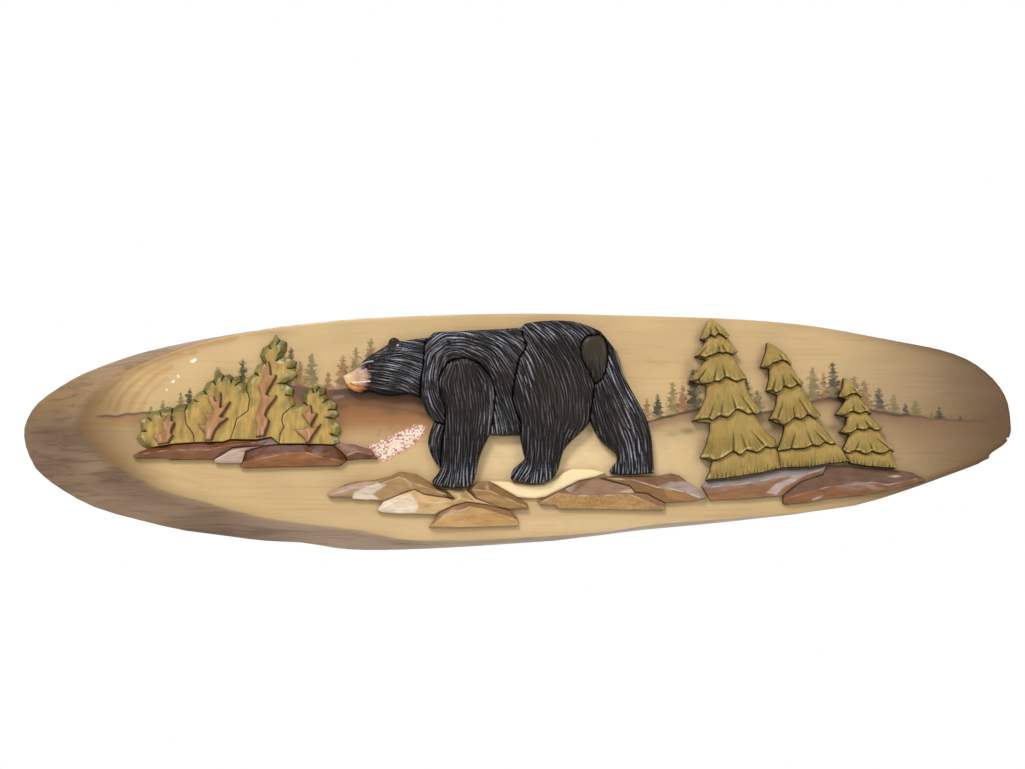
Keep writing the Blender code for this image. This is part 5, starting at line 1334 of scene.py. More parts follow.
def rocks():
    """Rocks of flat facets, painted by their ridge and in patches."""
    for number, (name, (plane, outline, ridge)) in enumerate(ROCKS.items()):
        loop = inset(grid_line(outline, plane), KERF / 2)
        crest = grid_line(ridge, plane)
        upper, lower, worn = (paint_of(*chart) for chart in ROCK_PAINTS[name][:3])
        slot = "rock_brown" if name in DARK_ROCKS else "rock_tan"

        def shape(points, gap, cut_places):
            level = faceted(points, loop, ROCK_RIM, [crest], ROCK_RELIEF)
            level = level + 0.00026 * noise_field(points, 0.014, number + 60)
            level = level + 0.00003 * noise_field(points, 0.004, number + 80)
            level = rounded(level, gap, *ROCK_ROUND)
            u, v = grid_of(points, plane)
            over = along(u, ridge) - v
            colours = blend(lower, upper, smooth(over, -0.7, 0.7))
            grid = np.column_stack([u, v])
            for patch, strength, chart in ROCK_PAINTS[name][3]:
                border = edge_distance(grid, patch)
                depth = np.where(inside(grid, patch), border, -border)
                cover = smooth(depth + 0.3 * noise_field(points, 0.006, number + 85), -0.9, 0.9)
                colours = blend(colours, paint_of(*chart), strength * cover)
            grained = noise_field(points, 0.006, number + 90, (0.3, 1.0))
            tone = 0.6 * noise_field(points, 0.02, number + 92) + 0.5 * grained
            colours = dimmed(colours, 1 + 0.13 * np.clip(tone, -1.4, 1.4))
            ridge_gap = edge_distance(points, crest, False)
            broken = 0.15 + 0.85 * smooth(noise_field(points, 0.014, number + 95), -0.5, 0.6)
            # The pale ridge line and the pale rim below it: partly wear, partly painted highlight
            colours = blend(colours, worn, 0.75 * broken * smooth(0.0008 - ridge_gap, 0, 0.0006))
            rim = smooth(0.0013 - gap, 0, 0.0006) * smooth(gap, 0.0004, 0.0008) * smooth(-over, 0, 1)
            colours = blend(colours, worn, 0.35 * broken * rim)
            # Painted shade along the rim
            colours = dimmed(colours, 0.5 + 0.5 * smooth(gap, -0.0002, 0.0005))
            if name == PITTED:
                draw = random.Random(number)
                pit = np.zeros(len(points))
                for k in range(PITS):
                    at = [draw.uniform(*span) for span in PIT_SPANS]
                    pit = np.maximum(pit, spot(u, v, *at, *PIT_SIZE))
                level = level - 0.0003 * pit
                colours = blend(colours, (lower * 0.5), 0.55 * pit)
            return np.clip(level, ROCK_RIM * 0.6, ROCK_RELIEF), colours

        carve(name, loop, ROCK_SPACING, shape, upper * 0.35, slot, cuts=[crest])


PATH_CREAM = paint_of(255, 230, 180)
PATH_SHADE = paint_of(240, 192, 138)
PATH_SIDE = paint_of(150, 112, 66)


def path():
    """The pale path between the rocks, a little darker at its edges."""
    loop = inset(grid_line(closed_curve(PATH_OUTLINE, 1), MIDDLE_PLANE), KERF)

    def shape(points, gap, cut_places):
        level = PATH_RELIEF * (0.72 + 0.28 * smooth(gap, -0.0006, 0.0022))
        level = level + 0.00012 * noise_field(points, 0.012, 7)
        colours = blend(PATH_SHADE, PATH_CREAM, smooth(gap, -0.0006, 0.0016))
        return np.minimum(level, PATH_RELIEF), colours

    carve("path", loop, PATH_SPACING, shape, PATH_SIDE, "path_cream")


# Widths of a spruce's cuts: from a notch, from a lobe's tip, between them, and in the fringe
NOTCH_CUT = 0.0015
TIP_CUT = 0.0010
SIDE_CUT = 0.0008
FRINGE_CUT = 0.0009
# On the grid: height of the first tier's open top, and how far the shade under a hem reaches
NO_HEM = 99.0
HEM_SHADE = (0.7, 2.1)

NEEDLE = paint_of(172, 144, 78)
NEEDLE_DEEP = paint_of(136, 119, 52)
# Painted highlight on the hems and beside the flutes
NEEDLE_HIGHLIGHT = paint_of(214, 194, 130)
FLUTE_SHADE = paint_of(84, 66, 28)
# Painted shade under each hem and along the rim, and also the colour of the sides
SHADE_UNDER_HEM = paint_of(38, 24, 12)


def flutes_of(hem, apex, draw):
    """Cuts that run up from a hem: deep from its notches, shallow between them."""
    def cut(u, v, rise, depth, width):
        """A cut from a place on the hem towards the tier's top: start, end, depth and width."""
        start = np.array(place((u, v), RIGHT_PLANE))
        end = np.array(place((u + (apex[0] - u) * rise * 0.8, v + (apex[1] - v) * rise), RIGHT_PLANE))
        return start, end, depth, width

    made = []
    for before, here, after in zip(hem, hem[1:], hem[2:]):
        notch = here[1] < before[1] and here[1] < after[1]
        rise, depth = (draw.uniform(0.45, 0.75), 1.0) if notch else (draw.uniform(0.2, 0.4), 0.35)
        made.append(cut(*here, rise, depth, NOTCH_CUT if notch else TIP_CUT))
    for first, second in zip(hem, hem[1:]):
        share = draw.uniform(0.3, 0.7)
        u, v = (a + (b - a) * share for a, b in zip(first, second))
        made.append(cut(u, v, draw.uniform(0.15, 0.5), draw.uniform(0.15, 0.5), SIDE_CUT))
    return made


def fringe_of(foot, draw):
    """Short upright cuts in a spruce's lowest edge."""
    made = []
    u = foot[1][0] + 2.5
    while u < foot[-2][0] - 2:
        v = along(u, foot[1:-1])
        start = np.array(place((u, v), RIGHT_PLANE))
        end = np.array(place((u + draw.uniform(-0.8, 0.8), v - draw.uniform(4, 9)), RIGHT_PLANE))
        made.append((start, end, draw.uniform(0.45, 0.95), FRINGE_CUT))
        u += draw.uniform(2.4, 5.2)
    return made


def spruce(name, tip, tiers, foot, seed):
    """A spruce of overlapping tiers, each hem cut in lobes under fluted needles."""
    left_side, right_side = [tip], []
    for left, hem, right in tiers:
        left_side += left + [hem[0]]
        right_side = [hem[-1]] + right + right_side
    loop = inset(grid_line(left_side + foot + right_side, RIGHT_PLANE), KERF / 2)
    low = SPRUCE_RELIEF - SPRUCE_STEP
    draw = random.Random(seed)
    hems, cuts, flutes = [], [], []
    for left, hem, right in tiers:
        line = curve_through(hem, 3)
        hems.append(line)
        core = [p for p in line if hem[0][0] + 0.8 < p[0] < hem[-1][0] - 0.8]
        cuts.append(grid_line(core, RIGHT_PLANE))
        cuts.append(grid_line([(u, v + HEM_SLOPE * 0.7) for u, v in core], RIGHT_PLANE))
        apex = ((left[0][0] + right[-1][0]) / 2, (left[0][1] + right[-1][1]) / 2)
        flutes.append(flutes_of(hem, apex, draw))
    flutes.append(fringe_of(foot, draw))

    def shape(points, gap, cut_places):
        u, v = grid_of(points, RIGHT_PLANE)
        lines = [along(u, hem) for hem in hems]
        # Which tier each point is on. A hem's own points end a tier, those of the line below it start one
        tier = np.full(len(points), len(tiers))
        for k in reversed(range(len(tiers))):
            tier[v <= lines[k] + HEM_SLOPE * 0.35] = k
        for k in range(len(tiers)):
            tier[cut_places[2 * k]] = k
            tier[cut_places[2 * k + 1]] = k + 1
        rise = np.zeros(len(points))
        down = np.zeros(len(points))
        groove = np.zeros(len(points))
        crest = np.zeros(len(points))
        below = np.full(len(points), NO_HEM)
        for k in range(len(tiers) + 1):
            mine = tier == k
            if not mine.any():
                continue
            here = points[mine]
            top = lines[k - 1][mine] if k else np.full(mine.sum(), tip[1])
            if k < len(tiers):
                hem = tiers[k][1]
                bottom = lines[k][mine]
                across = np.clip((u[mine] - hem[0][0]) / (hem[-1][0] - hem[0][0]), 0, 1)
                peak = 0.62 + 0.38 * (1 - (2 * across - 1) ** 2)
            else:
                bottom = along(u[mine], foot[1:-1])
                across = np.full(mine.sum(), 0.5)
                peak = np.full(mine.sum(), 0.9)
            t = np.clip((v[mine] - top) / np.maximum(bottom - top, 2.0), 0, 1)
            rise[mine] = SPRUCE_STEP * peak * (0.30 + 0.70 * t ** 0.8 if k == 0 else t ** 0.75)
            valleys = np.zeros(mine.sum())
            pale = np.zeros(mine.sum())
            for start, end, depth, width in flutes[k]:
                run = end - start
                share = np.clip((here - start) @ run / (run @ run), 0, 1)
                off = here - start - share[:, None] * run
                narrow = width * (1 - 0.45 * share)
                valley = depth * (1 - share) ** 0.6 * np.clip(1 - np.linalg.norm(off, axis=1) / narrow, 0, 1)
                valleys = np.maximum(valleys, valley)
                aside = off @ np.array([run[1], -run[0]]) / np.linalg.norm(run)
                ridge = np.exp(-((aside - 1.35 * width) / (0.45 * width)) ** 2)
                pale = np.maximum(pale, ridge * depth * smooth(1 - share, 0.2, 0.8) * (share > 0))
            down[mine] = t
            groove[mine] = valleys
            crest[mine] = pale * (0.25 + 0.75 * smooth(across, 0.35, 0.9))
            below[mine] = v[mine] - top if k else NO_HEM
        # Height, then paint: stains, painted shade in the grooves, painted highlight on the ridges and hems,
        # and painted shade under each hem and along the rim
        level = low + rise - FLUTE_DEPTH * 0.85 * groove
        level = level + 0.00016 * noise_field(points, 0.006, seed + 4)
        level = level - SPRUCE_STEP * 0.35 * (1 - smooth(gap, 0, 0.0022)) * (level > low)
        level = np.clip(level, low * 0.85, SPRUCE_RELIEF)
        tone = smooth(noise_field(points, 0.016, seed + 6), -1.2, 1.2)
        colours = blend(NEEDLE * 0.92, NEEDLE * 1.10, tone)
        patchy = 0.35 + 0.65 * smooth(noise_field(points, 0.02, seed + 7), -0.8, 0.9)
        colours = blend(colours, NEEDLE_DEEP, 0.75 * (smooth(down, 0.25, 0.85) * patchy))
        colours = blend(colours, FLUTE_SHADE, np.clip(0.95 * groove, 0, 1))
        # Painted highlight along the hems and on the ridges beside the flutes
        hem_edge = smooth(down, 0.90, 0.97) * smooth(noise_field(points, 0.007, seed + 8), -0.2, 0.7)
        colours = blend(colours, NEEDLE_HIGHLIGHT, np.clip(0.70 * hem_edge + 0.9 * crest, 0, 0.9))
        colours = blend(SHADE_UNDER_HEM, colours, smooth(below, *HEM_SHADE))
        for k in range(len(tiers)):
            colours[cut_places[2 * k + 1]] = SHADE_UNDER_HEM
        # Painted shade along the rim
        colours = blend(SHADE_UNDER_HEM * 2.2, colours, smooth(gap, -0.0002, 0.0004))
        return level, colours

    carve(name, loop, SPRUCE_SPACING, shape, SHADE_UNDER_HEM, "spruce_green", cuts=cuts)


# Broad painted areas of the face, on the drawing grid
CREST_LEFT = [(96, 415.5), (120, 414.5), (140, 412.5), (200, 408), (262, 400), (283, 385), (303, 387),
              (325, 391), (345, 388.5), (360, 389), (380, 389), (410, 392), (432, 398)]
CREST_RIGHT = [(640, 422), (652, 420), (680, 413), (700, 408), (765, 412), (800, 403), (830, 397),
               (850, 402), (874.6, 411), (899, 414), (941, 418.5), (968, 421), (1000, 422)]
BLOSSOM = [(366, 445), (375, 442), (399, 432), (418.6, 423), (426, 426), (425, 433.5), (409.6, 449),
           (383, 463), (375, 455)]
# Streaks of the wood's own figure on the left, and dark and pale brush strokes on the hill, two of which are
# painted shadow, under the bear's jaw and under the third bush: line, half width, strength, paint
FIGURE = [
    ([(98, 404), (108, 390), (124, 375), (150, 361.5), (190, 348), (235, 338)], 2.4, 0.60, (184, 126, 62)),
    ([(116, 410), (121, 398), (131, 386), (146, 373.5), (168, 361), (196, 352)], 2.0, 0.55, (186, 130, 66)),
    ([(128, 412), (134, 399), (143, 387.5), (155, 376), (172, 366)], 2.6, 0.50, (186, 130, 66)),
    ([(141, 409), (147, 397), (156, 387), (166, 379)], 2.0, 0.40, (186, 132, 70)),
    ([(108, 408), (113, 396), (124, 382), (140, 369), (160, 359.5)], 1.6, 0.40, (190, 136, 72)),
    ([(100, 442), (118, 457), (150, 470), (200, 484)], 2.5, 0.25, (178, 130, 74)),
    ([(150, 462), (185, 470), (230, 478), (290, 486)], 1.6, 0.22, (190, 146, 88)),
    ([(622, 343), (640, 345.5), (664, 346)], 1.0, 0.30, (190, 132, 82)),
    ([(618, 352), (634, 354), (652, 358.5)], 1.2, 0.30, (190, 132, 82)),
    ([(632, 361), (650, 362), (670, 366)], 1.0, 0.28, (190, 132, 82)),
    ([(705, 329), (760, 333), (820, 342)], 1.2, 0.20, (180, 134, 86)),
]
BRUSH_AND_SHADOW_STROKES = [
    # Partly painted shadow under the bear's jaw, partly dark paint
    ([(346, 392), (365, 394.5), (400, 398.5), (427, 404)], 4.5, 0.70, (82, 62, 48)),
    ([(336, 408), (350, 404.5), (372, 405), (400, 409), (428, 415.5)], 2.8, 0.55, (92, 68, 52)),
    ([(330, 394.5), (340, 392.5), (350, 393)], 2.4, 0.75, (84, 68, 60)),
    ([(326, 388.6), (336, 387.0), (348, 385.6)], 1.6, 0.45, (200, 186, 168)),
    ([(334, 397.8), (343, 396)], 1.4, 0.30, (196, 180, 164)),
    # Painted shadow under a top leaf of the third bush
    ([(286, 388), (296, 392), (303, 398)], 7.0, 0.75, (98, 74, 64)),
    ([(936, 417.6), (960, 420), (986, 421.5)], 1.4, 0.60, (88, 60, 40)),
    ([(640, 423.5), (648, 422), (662, 418), (680, 413.5), (698, 409)], 1.3, 0.9, (70, 48, 36)),
    ([(788, 408.5), (806, 402.5), (828, 398.5), (846, 402), (872, 411), (900, 415)], 1.8, 0.85, (72, 50, 38)),
    ([(652, 426), (672, 421), (700, 417)], 4.0, 0.40, (134, 92, 66)),
    ([(378, 436), (381, 429)], 0.8, 0.40, (120, 90, 70)),
    ([(389, 433), (391, 426)], 0.8, 0.40, (120, 90, 70)),
]
# Soft spots, partly airbrushed paint and partly painted shadow and light: grid place, width, height,
# strength, paint. Green smudges and haze are paint, the halos beside the spruces and bushes are partly
# airbrush and partly painted shadow, and the two broad pale spots are painted light
AIRBRUSH_SHADOW_AND_LIGHT = [
    (392, 411, 9, 5, 0.55, (84, 82, 62)), (688, 431, 9, 3.4, 0.85, (84, 80, 48)),
    (672, 434, 7, 2.4, 0.6, (92, 86, 52)), (773, 430, 8, 4, 0.6, (92, 82, 52)),
    (832, 428, 8, 4, 0.6, (92, 82, 52)), (701, 343, 7, 12, 0.40, (120, 84, 62)),
    (690, 372, 7, 14, 0.45, (110, 80, 60)), (693, 405, 8, 16, 0.50, (110, 78, 58)),
    (701, 445, 7, 16, 0.45, (120, 86, 56)), (762, 368, 6, 13, 0.45, (116, 84, 60)),
    (770, 400, 7, 14, 0.50, (108, 78, 60)), (776, 428, 7, 12, 0.55, (104, 74, 58)),
    (838, 398, 6, 12, 0.45, (112, 80, 60)), (838, 420, 6, 12, 0.55, (112, 80, 60)),
    (840, 440, 5, 9, 0.40, (120, 86, 60)), (137, 428, 9, 16, 0.35, (128, 94, 58)),
    (341, 420, 6, 18, 0.50, (128, 92, 60)), (296, 378, 9, 12, 0.40, (132, 110, 78)),
    (312, 374, 12, 14, 0.30, (138, 128, 88)), (344, 372, 12, 12, 0.28, (142, 128, 88)),
    # At the end of this line and on the next, two pools of painted light: under the bear and over the lower
    # middle. Then a faint darker band along the top
    (246, 372, 6, 10, 0.30, (132, 118, 78)), (560, 455, 120, 30, 0.80, (250, 222, 170)),
    (520, 525, 190, 9, 0.45, (234, 206, 162)), (470, 335, 230, 13, 0.06, (190, 164, 126)),
]

# Spans of the face's paints on the grid: where each starts and is full, or starts to fade and is gone
RIGHT_END = (788, 1026)
RIGHT_RIM = (850, 960)
LEFT_END = (84, 168)
LEFT_END_LEVEL = 430
FACE_MIDDLE = 520
RIM_SPAN = (120, 420)
LEFT_HILL_START = (90, 112)
LEFT_CREST_START = (92, 104)
LEFT_HILL_STOP = (428, 442)
RIGHT_HILL_START = (636, 652)
RIGHT_HILL_FADE = (900, 950)
RIGHT_HILL_STOP = (950, 992)
# How far down the left hill's paint reaches, and how strong it is, from left to right
LEFT_REACH = [(96, 9), (140, 14), (262, 24), (300, 36), (345, 50), (400, 50), (432, 42)]
LEFT_COVER = [(96, 0.5), (150, 0.6), (300, 0.9), (340, 1.0)]
# Where the face needs fine points: near a crest (line, distance, left, right), and in boxes
FINE_CRESTS = [(CREST_LEFT, 7, 90, 440), (CREST_RIGHT, 5, 636, 1030)]
FINE_BOXES = [(94, 240, 300, 415), (325, 434, 384, 420)]

FACE_TAN = paint_of(208, 177, 127)
RIGHT_BROWN = paint_of(90, 58, 10)
LEFT_BROWN = paint_of(118, 86, 52)
HILL_TOP = paint_of(92, 58, 37)
HILL_LOW = paint_of(157, 104, 62)
HILL_RIGHT = paint_of(114, 70, 45)
CREST_DARK = paint_of(76, 52, 42)
LOG_GREY = paint_of(156, 130, 104)
LOG_BROWN = paint_of(104, 80, 58)
LOG_TOP = paint_of(178, 142, 92)
LOG_LOW = paint_of(196, 170, 144)
RAW_WOOD = paint_of(196, 164, 120)


def brushed(colours, u, v, points, marks, seed):
    """Lays broken strokes along lines on the grid: brush strokes, streaks of figure and painted shadows."""
    grid = np.column_stack([u, v])
    for number, (line, wide, strength, chart) in enumerate(marks):
        gap = edge_distance(grid, line, False) + 0.35 * wide * noise_field(points, 0.012, seed + number)
        broken = 0.65 + 0.35 * smooth(noise_field(points, 0.03, seed + 40 + number), -0.8, 0.8)
        cover = strength * broken * np.exp(-np.clip(gap / wide, 0, None) ** 2)
        colours = blend(colours, paint_of(*chart), cover)
    return colours


def face_paint(points):
    """Varnished wood, browner at its ends, with the painted hill bands and brush strokes, painted shadows
    under the bear's jaw and a bush, airbrushed smudges, halos that are partly painted shadow, and pools of
    painted light.
    """
    u, v = grid_of(points, 0)
    rim_gap = edge_distance(points, grid_line(closed_curve(FACE_OUTLINE, 2), 0))
    colours = np.tile(FACE_TAN, (len(points), 1))
    colours = dimmed(colours, 1 + 0.05 * noise_field(points, 0.03, 23, (0.35, 1.0)))
    colours = brushed(colours, u, v, points, FIGURE, 300)
    left = v - along(u, CREST_LEFT) + 0.8 * noise_field(points, 0.02, 21)
    reach = along(u, LEFT_REACH)
    start = smooth(u, *LEFT_HILL_START) * (1 - smooth(u, *LEFT_HILL_STOP)) * along(u, LEFT_COVER)
    left_band = smooth(left, -0.7, 0.7) * (1 - smooth(left, reach * 0.5, reach * 1.3)) * start
    left_crest = np.exp(-((left - 0.9) / 1.1) ** 2) * smooth(u, *LEFT_CREST_START)
    right = v - along(u, CREST_RIGHT) + 0.8 * noise_field(points, 0.02, 22)
    across = smooth(u, *RIGHT_HILL_START) * (1 - 0.35 * smooth(u, *RIGHT_HILL_FADE))
    across = across * (1 - smooth(u, *RIGHT_HILL_STOP))
    right_band = smooth(right, -0.7, 0.7) * np.exp(-np.clip(right, 0, None) / 11) * across
    near_rim = 1 - smooth(rim_gap, 0, 0.009)
    colours = layered(colours, [
        (RIGHT_BROWN, smooth(u, *RIGHT_END)),
        (RIGHT_BROWN * 0.7, 0.6 * near_rim * smooth(u, *RIGHT_RIM)),
        (LEFT_BROWN, 0.85 * (1 - smooth(u - (v - LEFT_END_LEVEL) * 0.35, *LEFT_END))),
        (LEFT_BROWN, 0.30 * (1 - smooth(rim_gap, 0, 0.012)) * smooth(abs(u - FACE_MIDDLE), *RIM_SPAN)),
        (blend(HILL_TOP, HILL_LOW, smooth(left / reach, 0.0, 0.6)), 0.97 * left_band),
        (CREST_DARK, 0.75 * left_crest * (1 - smooth(u, *LEFT_HILL_STOP))),
        (HILL_RIGHT, 0.9 * right_band),
        (CREST_DARK, 0.80 * np.exp(-((right - 0.8) / 1.1) ** 2) * across)])
    for *shade, strength, chart in AIRBRUSH_SHADOW_AND_LIGHT:
        soft = spot(u, v, *shade) * (0.85 + 0.15 * noise_field(points, 0.01, 25))
        colours = blend(colours, paint_of(*chart), strength * np.clip(soft, 0, 1))
    return brushed(colours, u, v, points, BRUSH_AND_SHADOW_STROKES, 400)


def face_field(low, high):
    """Points for the face's mesh: close together where brush lines run, wide apart elsewhere."""
    made = []
    for spacing, wanted in ((FACE_SPACING, False), (LINE_SPACING, True)):
        points = even_rows(low, high, spacing)
        u, v = grid_of(points, 0)
        lined = np.zeros(len(points), bool)
        for crest, distance, left, right in FINE_CRESTS:
            lined |= (abs(v - along(u, crest)) < distance) & (u > left) & (u < right)
        for left, right, top, bottom in FINE_BOXES:
            lined |= (u > left) & (u < right) & (v > top) & (v < bottom)
        made.append(points[lined == wanted])
    return np.vstack(made)


def slab():
    """The oblique slice of the log: painted face, rounded edge, the log's own surface and a flat back."""
    face = closed_curve(FACE_OUTLINE, 2)
    chip = random.Random(5)
    front, rear = [], []
    for u, v in face:
        x, z = place((u, v), 0)
        under = min(1, max(0, (v - SWELL_START) / SWELL_FADE))
        swell = under * sum(deep * math.exp(-((u - at) / wide) ** 2) for at, wide, deep in SWELLS)
        drift_x, drift_z = (SLAB_THICKNESS * lean for lean in LOG_LEAN)
        rear.append((x + drift_x - swell * SWELL_LEAN, z + drift_z - swell))
        chipped = u > WORN_RIM[0] and WORN_RIM[1] < v < WORN_RIM[2]
        worn = CHIP_DEPTH * chip.random() if chipped else 0
        front.append((x - worn, z + worn))
    if turned_left(front) != front:
        front, rear = front[::-1], rear[::-1]
    # Both rims are cut into the same number of steps, so that rings can join them
    rim_front, rim_rear = [], []
    for k in range(len(front)):
        a, b = np.array(front[k]), np.array(front[(k + 1) % len(front)])
        c, d = np.array(rear[k]), np.array(rear[(k + 1) % len(rear)])
        count = max(1, int(round(np.linalg.norm(b - a) / RIM_SPACING)))
        for s in range(count):
            rim_front.append(tuple(a + (b - a) * s / count))
            rim_rear.append(tuple(c + (d - c) * s / count))
    count = len(rim_front)
    field = face_field(np.min(rim_front, 0), np.max(rim_front, 0))
    points, faces, rim = fill_flat(rim_front, RIM_SPACING, extra=field)[:3]
    colours = face_paint(points)
    gap = edge_distance(points, front)
    lift = FACE_WAVE * noise_field(points, 0.05, 3) - rounded(0, gap, *FACE_ROUND)
    corners = [np.column_stack([points[:, 0], -SLAB_THICKNESS + lift, points[:, 1]])]
    paint = [colours]
    rings = [rim]
    total = len(points)
    # The log's own surface, from the face's rim to the back's
    start, end = np.array(rim_front), np.array(rim_rear)
    for share in np.linspace(0, 1, RIM_RINGS)[1:]:
        flat = start + (end - start) * share
        ring = np.column_stack([flat[:, 0], np.full(count, -SLAB_THICKNESS * (1 - share)), flat[:, 1]])
        lengthwise = flat + np.array([0, share * 0.02])
        wave = LOG_WAVE * noise_field(lengthwise, 0.06, 41) * math.sin(share * math.pi)
        ring[:, 2] += wave * np.sign(flat[:, 1] - flat[:, 1].mean())
        corners.append(ring)
        tone = smooth(noise_field(flat, 0.05, 43, (0.4, 2.0)), -1.2, 1.0)
        log = blend(LOG_BROWN, LOG_GREY, 0.35 + 0.65 * tone)
        log = blend(log, LOG_BROWN, 0.45 * smooth(-flat[:, 0], 0.42, 0.47))
        log = blend(log, LOG_TOP, 0.45 * smooth(flat[:, 1], 0.0, 0.04))
        low_middle = smooth(flat[:, 0], -0.30, -0.18) * smooth(-flat[:, 1], 0.0, 0.05)
        log = blend(log, LOG_LOW, 0.5 * low_middle)
        log = blend(colours[rim] * 0.75, log, np.full(count, smooth(share, 0.0, 0.16)))
        paint.append(log)
        rings.append(list(range(total, total + count)))
        total += count
    inner, cap = fill_flat(rim_rear, BACK_SPACING)[:2]
    corners.append(np.column_stack([inner[:, 0], np.zeros(len(inner)), inner[:, 1]]))
    paint.append(np.tile(RAW_WOOD, (len(inner), 1)))
    back = [(total + c, total + b, total + a) for a, b, c in cap]
    all_corners = np.vstack(corners)
    made = make_object("slab_painted", all_corners, list(faces) + walls_between(rings) + back,
                       np.vstack(paint), "slab_wood", SLAB_CREASE)
    blossom_loop = grid_line(BLOSSOM, 0)
    flat = all_corners[:, [0, 2]]
    near = edge_distance(flat, blossom_loop)
    signed = np.where(inside(flat, blossom_loop), near, -near)
    blossom = np.where(all_corners[:, 1] < -SLAB_THICKNESS + 0.001, smooth(signed, -0.004, 0.005), 0)
    mark = made.data.attributes.new("blossom", "FLOAT", "POINT")
    mark.data.foreach_set("value", blossom.astype(float))
    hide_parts("slab")


# Painted pines: tip, height and half width on the grid, then the paint
PINE_GREEN = (50, 50, 30)
PINE_OLIVE = (104, 92, 46)
PINE_ROSE = (128, 82, 48)
BLOSSOM_PINK = paint_of(196, 88, 92)
BLOSSOM_PALE = paint_of(255, 232, 208)
BLOSSOM_RED = paint_of(172, 72, 72)
CHIP_PALE = paint_of(250, 240, 214)
PINES = [
    (190, 388, 24, 7, PINE_GREEN), (218, 367, 26, 7, PINE_OLIVE), (243, 359, 34, 8, PINE_GREEN),
    (291, 347, 30, 7, PINE_GREEN), (300, 361, 30, 7, PINE_ROSE), (312, 353, 36, 9, PINE_OLIVE),
    (328, 372, 26, 7, PINE_ROSE), (343, 355, 36, 9, PINE_ROSE), (356, 347, 36, 8, PINE_OLIVE),
    (371, 338, 34, 8, PINE_OLIVE), (262, 372, 30, 8, PINE_OLIVE), (181, 392, 18, 5, PINE_OLIVE),
    (163, 400, 14, 4, PINE_OLIVE), (151, 406, 10, 4, PINE_OLIVE),
    (646.6, 398, 22, 6, PINE_ROSE), (657.4, 394, 25, 7, PINE_GREEN), (672.3, 382, 33, 8, PINE_OLIVE),
    (682.3, 385, 28, 7, PINE_ROSE), (693, 369, 44, 10, PINE_GREEN), (746, 378, 32, 9, PINE_GREEN),
    (757, 390, 24, 8, PINE_OLIVE), (812.5, 367, 38, 10, PINE_OLIVE), (823.3, 373, 30, 8, PINE_ROSE),
    (832.4, 362, 40, 9, PINE_GREEN), (854, 376, 28, 8, PINE_OLIVE), (863.9, 380, 30, 8, PINE_ROSE),
    (878.8, 388, 24, 8, PINE_GREEN), (893, 394, 20, 7, PINE_OLIVE), (905, 403, 14, 5, PINE_GREEN),
    (915, 400, 17, 6, PINE_OLIVE), (931.5, 412, 8, 4, PINE_OLIVE), (939, 407, 13, 5, PINE_GREEN),
    (951, 414, 7, 3, PINE_OLIVE), (960, 415, 6, 3, PINE_GREEN),
]
# Chips in the varnish: place and radius on the grid
CHIPS = [(1008, 438, 1.6), (1002, 449, 1.4), (997.5, 453, 1.3), (994, 455.5, 1.1), (896, 341, 1.0),
         (167, 389.5, 1.6), (173.5, 381.7, 2.2), (178.4, 376.8, 1.8), (191.5, 361.6, 2.2),
         (194.5, 360.0, 2.6)]
# How far behind the face its paint starts to fade and is gone
FACE_DEPTH = (0.0004, 0.0012)


def pine_group():
    """A small brushed conifer: input its tip, size, the place and the brush noise; output its cover."""
    group = bpy.data.node_groups.new("brushed_pine", "ShaderNodeTree")
    for name, kind in (("Place", "NodeSocketVector"), ("Tip", "NodeSocketVector"),
                       ("Size", "NodeSocketVector"), ("Brush", "NodeSocketFloat")):
        group.interface.new_socket(name=name, in_out="INPUT", socket_type=kind)
    group.interface.new_socket(name="Cover", in_out="OUTPUT", socket_type="NodeSocketFloat")
    start = group.nodes.new("NodeGroupInput")
    finish = group.nodes.new("NodeGroupOutput")
    nodes = Nodes(group)
    local = nodes.vector("DIVIDE", nodes.vector("SUBTRACT", start.outputs["Place"], start.outputs["Tip"]),
                         start.outputs["Size"])
    parts = nodes.split(local)
    down = nodes.math("MULTIPLY", parts["Z"], -1.0)
    aside = nodes.math("ABSOLUTE", parts["X"])
    ragged = nodes.centred(start.outputs["Brush"], 1.7)
    drooped = nodes.math("ADD", down, nodes.math("MULTIPLY", aside, 0.10))
    tiers = nodes.math("FRACT", nodes.math("MULTIPLY", drooped, 4.6))
    width = nodes.math("MULTIPLY", nodes.math("POWER", nodes.math("MAXIMUM", down, 0.001), 0.75),
                       nodes.math("ADD", 0.48, nodes.math("MULTIPLY", tiers, 0.72)))
    width = nodes.math("ADD", width, 0.12)
    edge = nodes.math("ADD", nodes.math("SUBTRACT", width, aside), ragged)
    cover = nodes.ramp(edge, -0.10, 0.30)
    top = nodes.ramp(down, -0.02, 0.05)
    low = nodes.ramp(down, 0.80, 1.12, 1.0, 0.0)
    stem = nodes.ramp(aside, 0.08, 0.22, 1.0, 0.0)
    cover = nodes.math("MAXIMUM", cover, nodes.math("MULTIPLY", stem, 0.85))
    cover = nodes.math("MULTIPLY", nodes.math("MULTIPLY", cover, top), low)
    group.links.new(cover, finish.inputs["Cover"])
    return group


